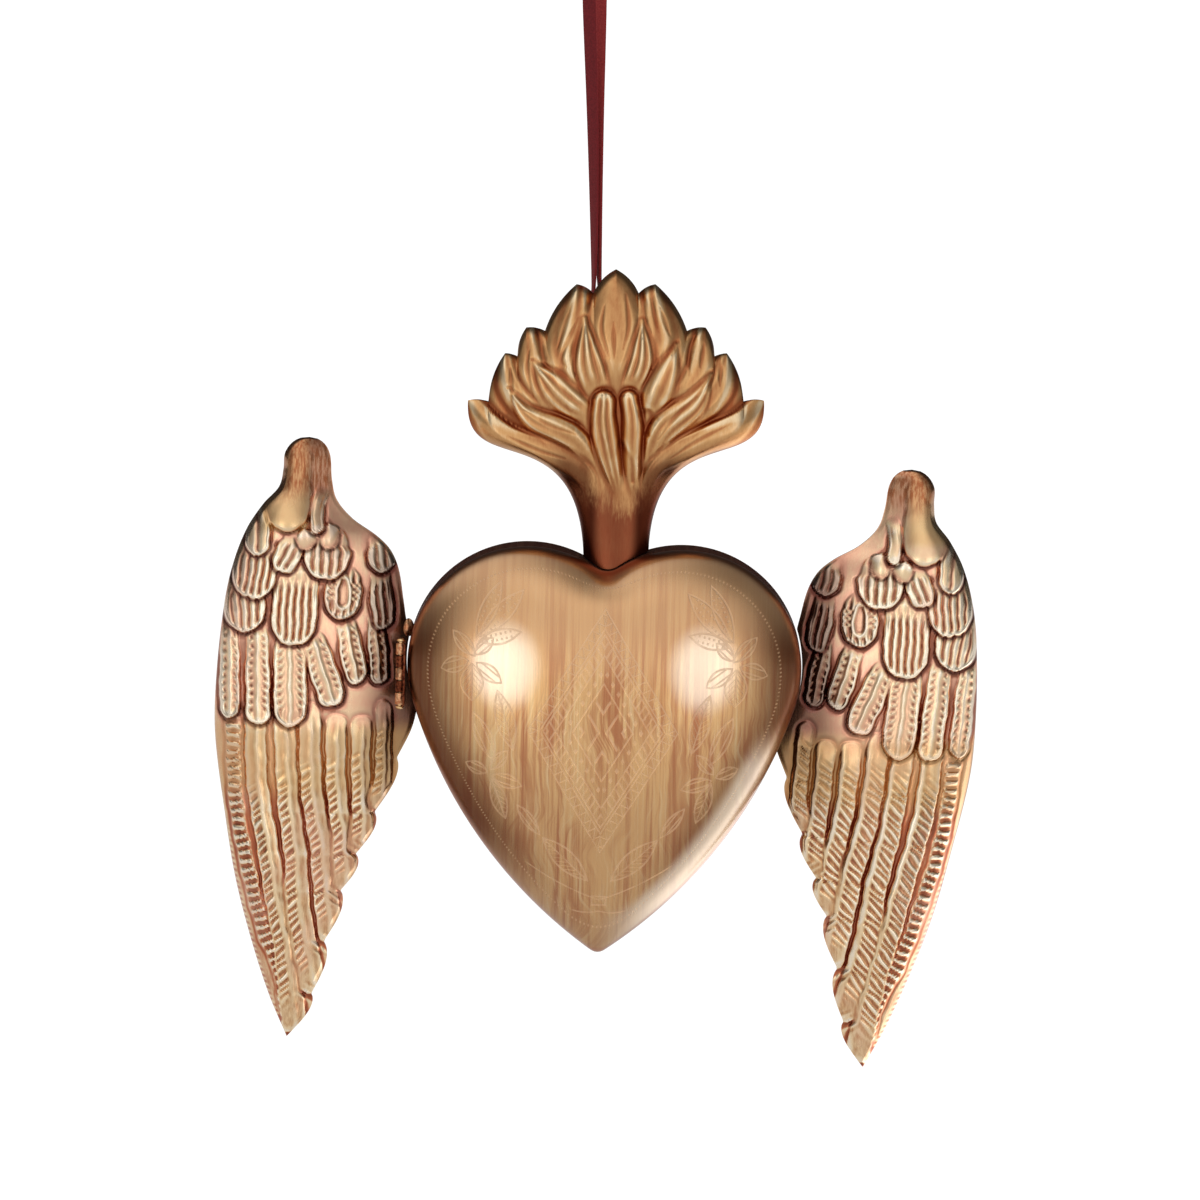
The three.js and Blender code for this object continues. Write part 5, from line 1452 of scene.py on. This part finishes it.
# %% Hinge
hinge_metal = Finish("worn_hinge_copper", metallic=1.0)
hinge_place = hinge_metal.place()
grain = hinge_metal.noise(hinge_place, (1.6, 1.6, 1.6), detail=4)
dirty = hinge_metal.noise(hinge_place, (0.5, 0.5, 0.5)).between(0.5, 0.62)
colour = hinge_metal.paint("B9714C", (grain.between(0.35, 0.65), "EDB98C"), (dirty * 0.6, "47211A"))
hinge_metal.set(base_color=colour, roughness=grain * 0.2 + 0.26)
hinge_metal.set(normal=hinge_metal.bump(grain, 0.05, 0.6))
dark_knuckle = Finish("dark_knuckle_copper", metallic=1.0)
dark_grain = dark_knuckle.noise(dark_knuckle.place(), (1.6, 1.6, 1.6), detail=4)
colour = dark_knuckle.mix(dark_grain.between(0.35, 0.65), "43190F", "8A4A30")
dark_knuckle.set(base_color=colour, roughness=dark_grain * 0.2 + 0.3)
rivet = Finish("polished_rivet", metallic=1.0, roughness=0.24, base_color="EBC490")

KNUCKLE_BORE = 0.62
HINGE_HIGH = HINGE_LOW + 5 * KNUCKLE_PITCH
STRIP_GAP = 0.3    # between a leaf's long strip and the other leaf's knuckles


def hinge_leaf(knuckles, tab_y, strip_y):
    """The knuckles of one leaf, the long strip along it, and a tab from that to each knuckle."""
    shells = [rolled_ring(*knuckle_span(n), BARREL_RADIUS, KNUCKLE_BORE, HINGE_X, HINGE_Y)
              for n in knuckles]
    shells.append(small_plate(
        (LEAF_LEFT, strip_y[0], HINGE_LOW), (LEAF_RIGHT, strip_y[1], HINGE_HIGH)))
    for n in knuckles:
        low, high = knuckle_span(n)
        shells.append(small_plate((LEAF_LEFT, tab_y[0], low), (LEAF_RIGHT, tab_y[1], high)))
    return shells


solder = solder_blob(-43.6, 2.6, 15.4, (1.1, 1.4, 2.1), 2.0)
box_shells = hinge_leaf((0, 2, 4), (HINGE_Y, 4.2), (HINGE_Y + BARREL_RADIUS + STRIP_GAP, 4.45))
leaf_box = add_piece("hinge_leaf_of_box", "box", "copper_brass", hinge_metal.material,
                     joined(*box_shells, solder))
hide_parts("hinge_leaf_box")
lid_shells = hinge_leaf((1, 3), (-2.5, HINGE_Y), (-2.75, HINGE_Y - BARREL_RADIUS - STRIP_GAP))
leaf_lid = add_piece("hinge_leaf_of_lid", "lid", "copper_brass", dark_knuckle.material,
                     joined(*lid_shells))
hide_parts("hinge_leaf_lid")

# %% Pin
pin_low, pin_high = (np.array(corner) / MM - HEART_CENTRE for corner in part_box("hinge_pin"))
HEAD_RADIUS, HEAD_HEIGHT = 0.95, 0.9
EQUATOR, SHAFT_INSET = 0.35, 0.5    # a head's widest place as a share, and the shaft's end in it
ball = []
for a in np.linspace(0.0, math.pi, 17):
    beyond = 1 - EQUATOR if a > math.pi / 2 else EQUATOR
    ball.append((HEAD_RADIUS * math.sin(a), HEAD_HEIGHT * (EQUATOR - beyond * math.cos(a))))
low_head = [(r, pin_low[2] + HEAD_HEIGHT - h) for r, h in ball][::-1]
high_head = [(r, pin_high[2] - HEAD_HEIGHT + h) for r, h in ball]
shaft_low, shaft_high = pin_low[2] + SHAFT_INSET, pin_high[2] - SHAFT_INSET
shaft = [(0, shaft_low), (PIN_RADIUS, shaft_low), (PIN_RADIUS, shaft_high), (0, shaft_high)]
pin = add_piece("riveted_pin", "box", "satin_brass", rivet.material, joined(
    *(turned(profile, HINGE_X, HINGE_Y) for profile in (low_head, high_head, shaft))))
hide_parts("hinge_pin")

# %% [markdown]
# Behind the crown a square staple of brass wire holds the ribbon. It is a round section carried
# along a line with two rounded corners, and each foot stands in a small puddle of solder.

# %% Staple
WIRE_RADIUS = 0.6
STAPLE_X, STAPLE_TOP, STAPLE_LOW, STAPLE_BEND = -4.3, 54.0, 49.0, 1.2
staple_low, staple_high = (np.array(corner) / MM - HEART_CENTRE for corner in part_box("hanging_staple"))
STAPLE_BACK = staple_high[1] - WIRE_RADIUS - WALL_DEPTH / 2
FOOT_SINK = 0.9    # how far the wire's feet reach into their solder
STAPLE_FEET = staple_low[1] - FOOT_SINK - WALL_DEPTH / 2

corner = np.linspace(0, math.pi / 2, 7)
falling, growing = STAPLE_BEND * (1 - np.sin(corner)), STAPLE_BEND * (1 - np.cos(corner))
upper = np.stack([STAPLE_BACK - falling, STAPLE_TOP - growing], 1)
lower = np.stack([STAPLE_BACK - growing, STAPLE_LOW + falling], 1)
legs = np.linspace(STAPLE_FEET, STAPLE_BACK - STAPLE_BEND, 9)[:-1]
wire = np.concatenate([
    np.stack([legs, STAPLE_TOP + 0 * legs], 1), upper, lower,
    np.stack([legs[::-1], STAPLE_LOW + 0 * legs], 1)])
heading = np.gradient(wire, axis=0)
heading /= np.linalg.norm(heading, axis=1, keepdims=True)
round_turn = (np.arange(20) * 2 * math.pi / 20)[:, None]
size = np.full(len(wire), WIRE_RADIUS)
size[[0, -1]] = 0
wire_y = wire[:, 0] - heading[:, 1] * size * np.sin(round_turn)
wire_z = wire[:, 1] + heading[:, 0] * size * np.sin(round_turn)
wire_x = STAPLE_X + size * np.cos(round_turn)
staple_shell = capped(on_heart(wire_x, wire_y, wire_z))
puddles = []
for level, foot in ((STAPLE_TOP, 3.2), (STAPLE_LOW, 4.3)):
    at = on_heart(np.array(STAPLE_X), np.array(foot), np.array(level))
    puddles.append(solder_blob(*at, (1.25, 0.55, 1.15), level))
brass_wire = Finish("brass_wire", metallic=1.0)
draw_marks = brass_wire.noise(brass_wire.place(), (1.5, 1.5, 1.5))
colour = brass_wire.mix(draw_marks.between(0.35, 0.65), "B98B54", "DDB77C")
brass_wire.set(base_color=colour, roughness=draw_marks * 0.2 + 0.22)
staple = add_piece("wire_staple", "box", "satin_brass", brass_wire.material,
                   joined(staple_shell, *puddles))
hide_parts("hanging_staple")

# %% [markdown]
# The light is a plain studio: an even pale room, a pale floor well below the hanging heart, and
# two soft lamps in front. Polished metal is a mirror, so its shape shows by what it mirrors. So,
# for mirrored rays, the room is brightest in front, darker at the sides and dark behind, with a
# soft sheet of light up on the left, and a patch of floor at the right glows white for mirrored
# rays only, a painted reflection that stands in for a white card. Where that sheet overlaps the
# front, the two add up to 1.2, a little more than the white background's 1.

# %% Room
world = bpy.data.worlds.new("studio")
bpy.context.scene.world = world
world.use_nodes = True
ROOM_LEVEL = 0.8
FRONT_LEVEL, SIDE_LEVEL, BEHIND_LEVEL, UPPER_LEVEL = 1.0, 0.32, 0.03, 0.8


class Room(Finish):
    """The world's nodes, with the same arithmetic as a finish."""

    def __init__(self, tree):
        self.tree = tree


room = Room(world.node_tree)
background = world.node_tree.nodes["Background"]
rays = room.node("ShaderNodeLightPath")
outputs = rays.socket.node.outputs
camera_ray, mirror_ray, glass_ray = (Value(room, outputs[key]) for key in (
    "Is Camera Ray", "Is Glossy Ray", "Is Transmission Ray"))
direction = room.node("ShaderNodeTexCoord", output="Generated")
dir_x, dir_y, dir_z = room.parts(direction)
ahead = dir_y.between(-0.48, -0.97) * (FRONT_LEVEL - SIDE_LEVEL)
beside = dir_y.between(0.55, -0.1) * (SIDE_LEVEL - BEHIND_LEVEL)
upper = dir_z.between(0.35, 0.8) * dir_x.between(0.5, -0.4) * dir_y.between(0.5, -0.1) * UPPER_LEVEL
mirrored = ahead + beside + upper + BEHIND_LEVEL
seen = (camera_ray + glass_ray).math("MINIMUM", 1.0)
level = mirror_ray * mirrored + seen
unseen = 1 - (seen + mirror_ray).math("MINIMUM", 1.0)
room.connect(background.inputs["Strength"], level + unseen * ROOM_LEVEL)
background.inputs["Color"].default_value = (1, 1, 1, 1)

# %% Floor
FLOOR_Z, FLOOR_HALF = -0.34, 6.0
floor_mesh = bpy.data.meshes.new("floor")
square = [(-1, -1), (1, -1), (1, 1), (-1, 1)]
corners = [(x * FLOOR_HALF, y * FLOOR_HALF, FLOOR_Z) for x, y in square]
floor_mesh.from_pydata(corners, [], [(0, 1, 2, 3)])
floor = bpy.data.objects.new("floor", floor_mesh)
bpy.context.scene.collection.objects.link(floor)
floor_paint = Finish("pale_floor", roughness=0.9, base_color=(0.9, 0.9, 0.9, 1),
                     specular_ior_level=0.2)
rays = floor_paint.node("ShaderNodeLightPath")
outputs = rays.socket.node.outputs
camera_ray, glass_ray, mirror_ray = (
    Value(floor_paint, outputs[f"Is {kind} Ray"]) for kind in ("Camera", "Transmission", "Glossy"))
seen = camera_ray + glass_ray
floor_x, floor_y, _ = floor_paint.parts(floor_paint.place())
# A patch of floor at the right glows white for mirrored rays only: a painted reflection.
mirror_only_glow = floor_x.between(60.0, 100.0) * floor_x.between(900.0, 700.0)
mirror_only_glow = mirror_only_glow * floor_y.between(-50.0, 0.0) * floor_y.between(320.0, 260.0)
mirror_only_glow = mirror_only_glow * mirror_ray
glow = floor_paint.mix(seen.math("MINIMUM", 1.0) * 0.4 + mirror_only_glow, (0, 0, 0, 1), (1, 1, 1, 1))
floor_paint.set(emission_color=glow, emission_strength=1.0)
floor_mesh.materials.append(floor_paint.material)

# %% Lamps
LAMP_DISTANCE, LAMP_SIZE = 1.0, 0.25
for name, azimuth, power in (("lamp_left", -21, 0.24), ("lamp_right", 21, 0.18)):
    lamp_data = bpy.data.lights.new(name, "AREA")
    lamp_data.size = LAMP_SIZE
    lamp_data.energy = power
    lamp = bpy.data.objects.new(name, lamp_data)
    bpy.context.scene.collection.objects.link(lamp)
    turn = math.radians(azimuth)
    away = np.array([math.sin(turn), -math.cos(turn), 0.0])
    axis_x = np.cross([0, 0, 1], away)
    axes = Matrix((axis_x, np.cross(away, axis_x), away)).transposed().to_4x4()
    lamp.matrix_world = Matrix.Translation(HEART_CENTRE * MM + away * LAMP_DISTANCE) @ axes
    print(name, "at", azimuth, "degrees,", power, "W")

# %% Finish
bpy.context.scene.view_settings.view_transform = "Standard"
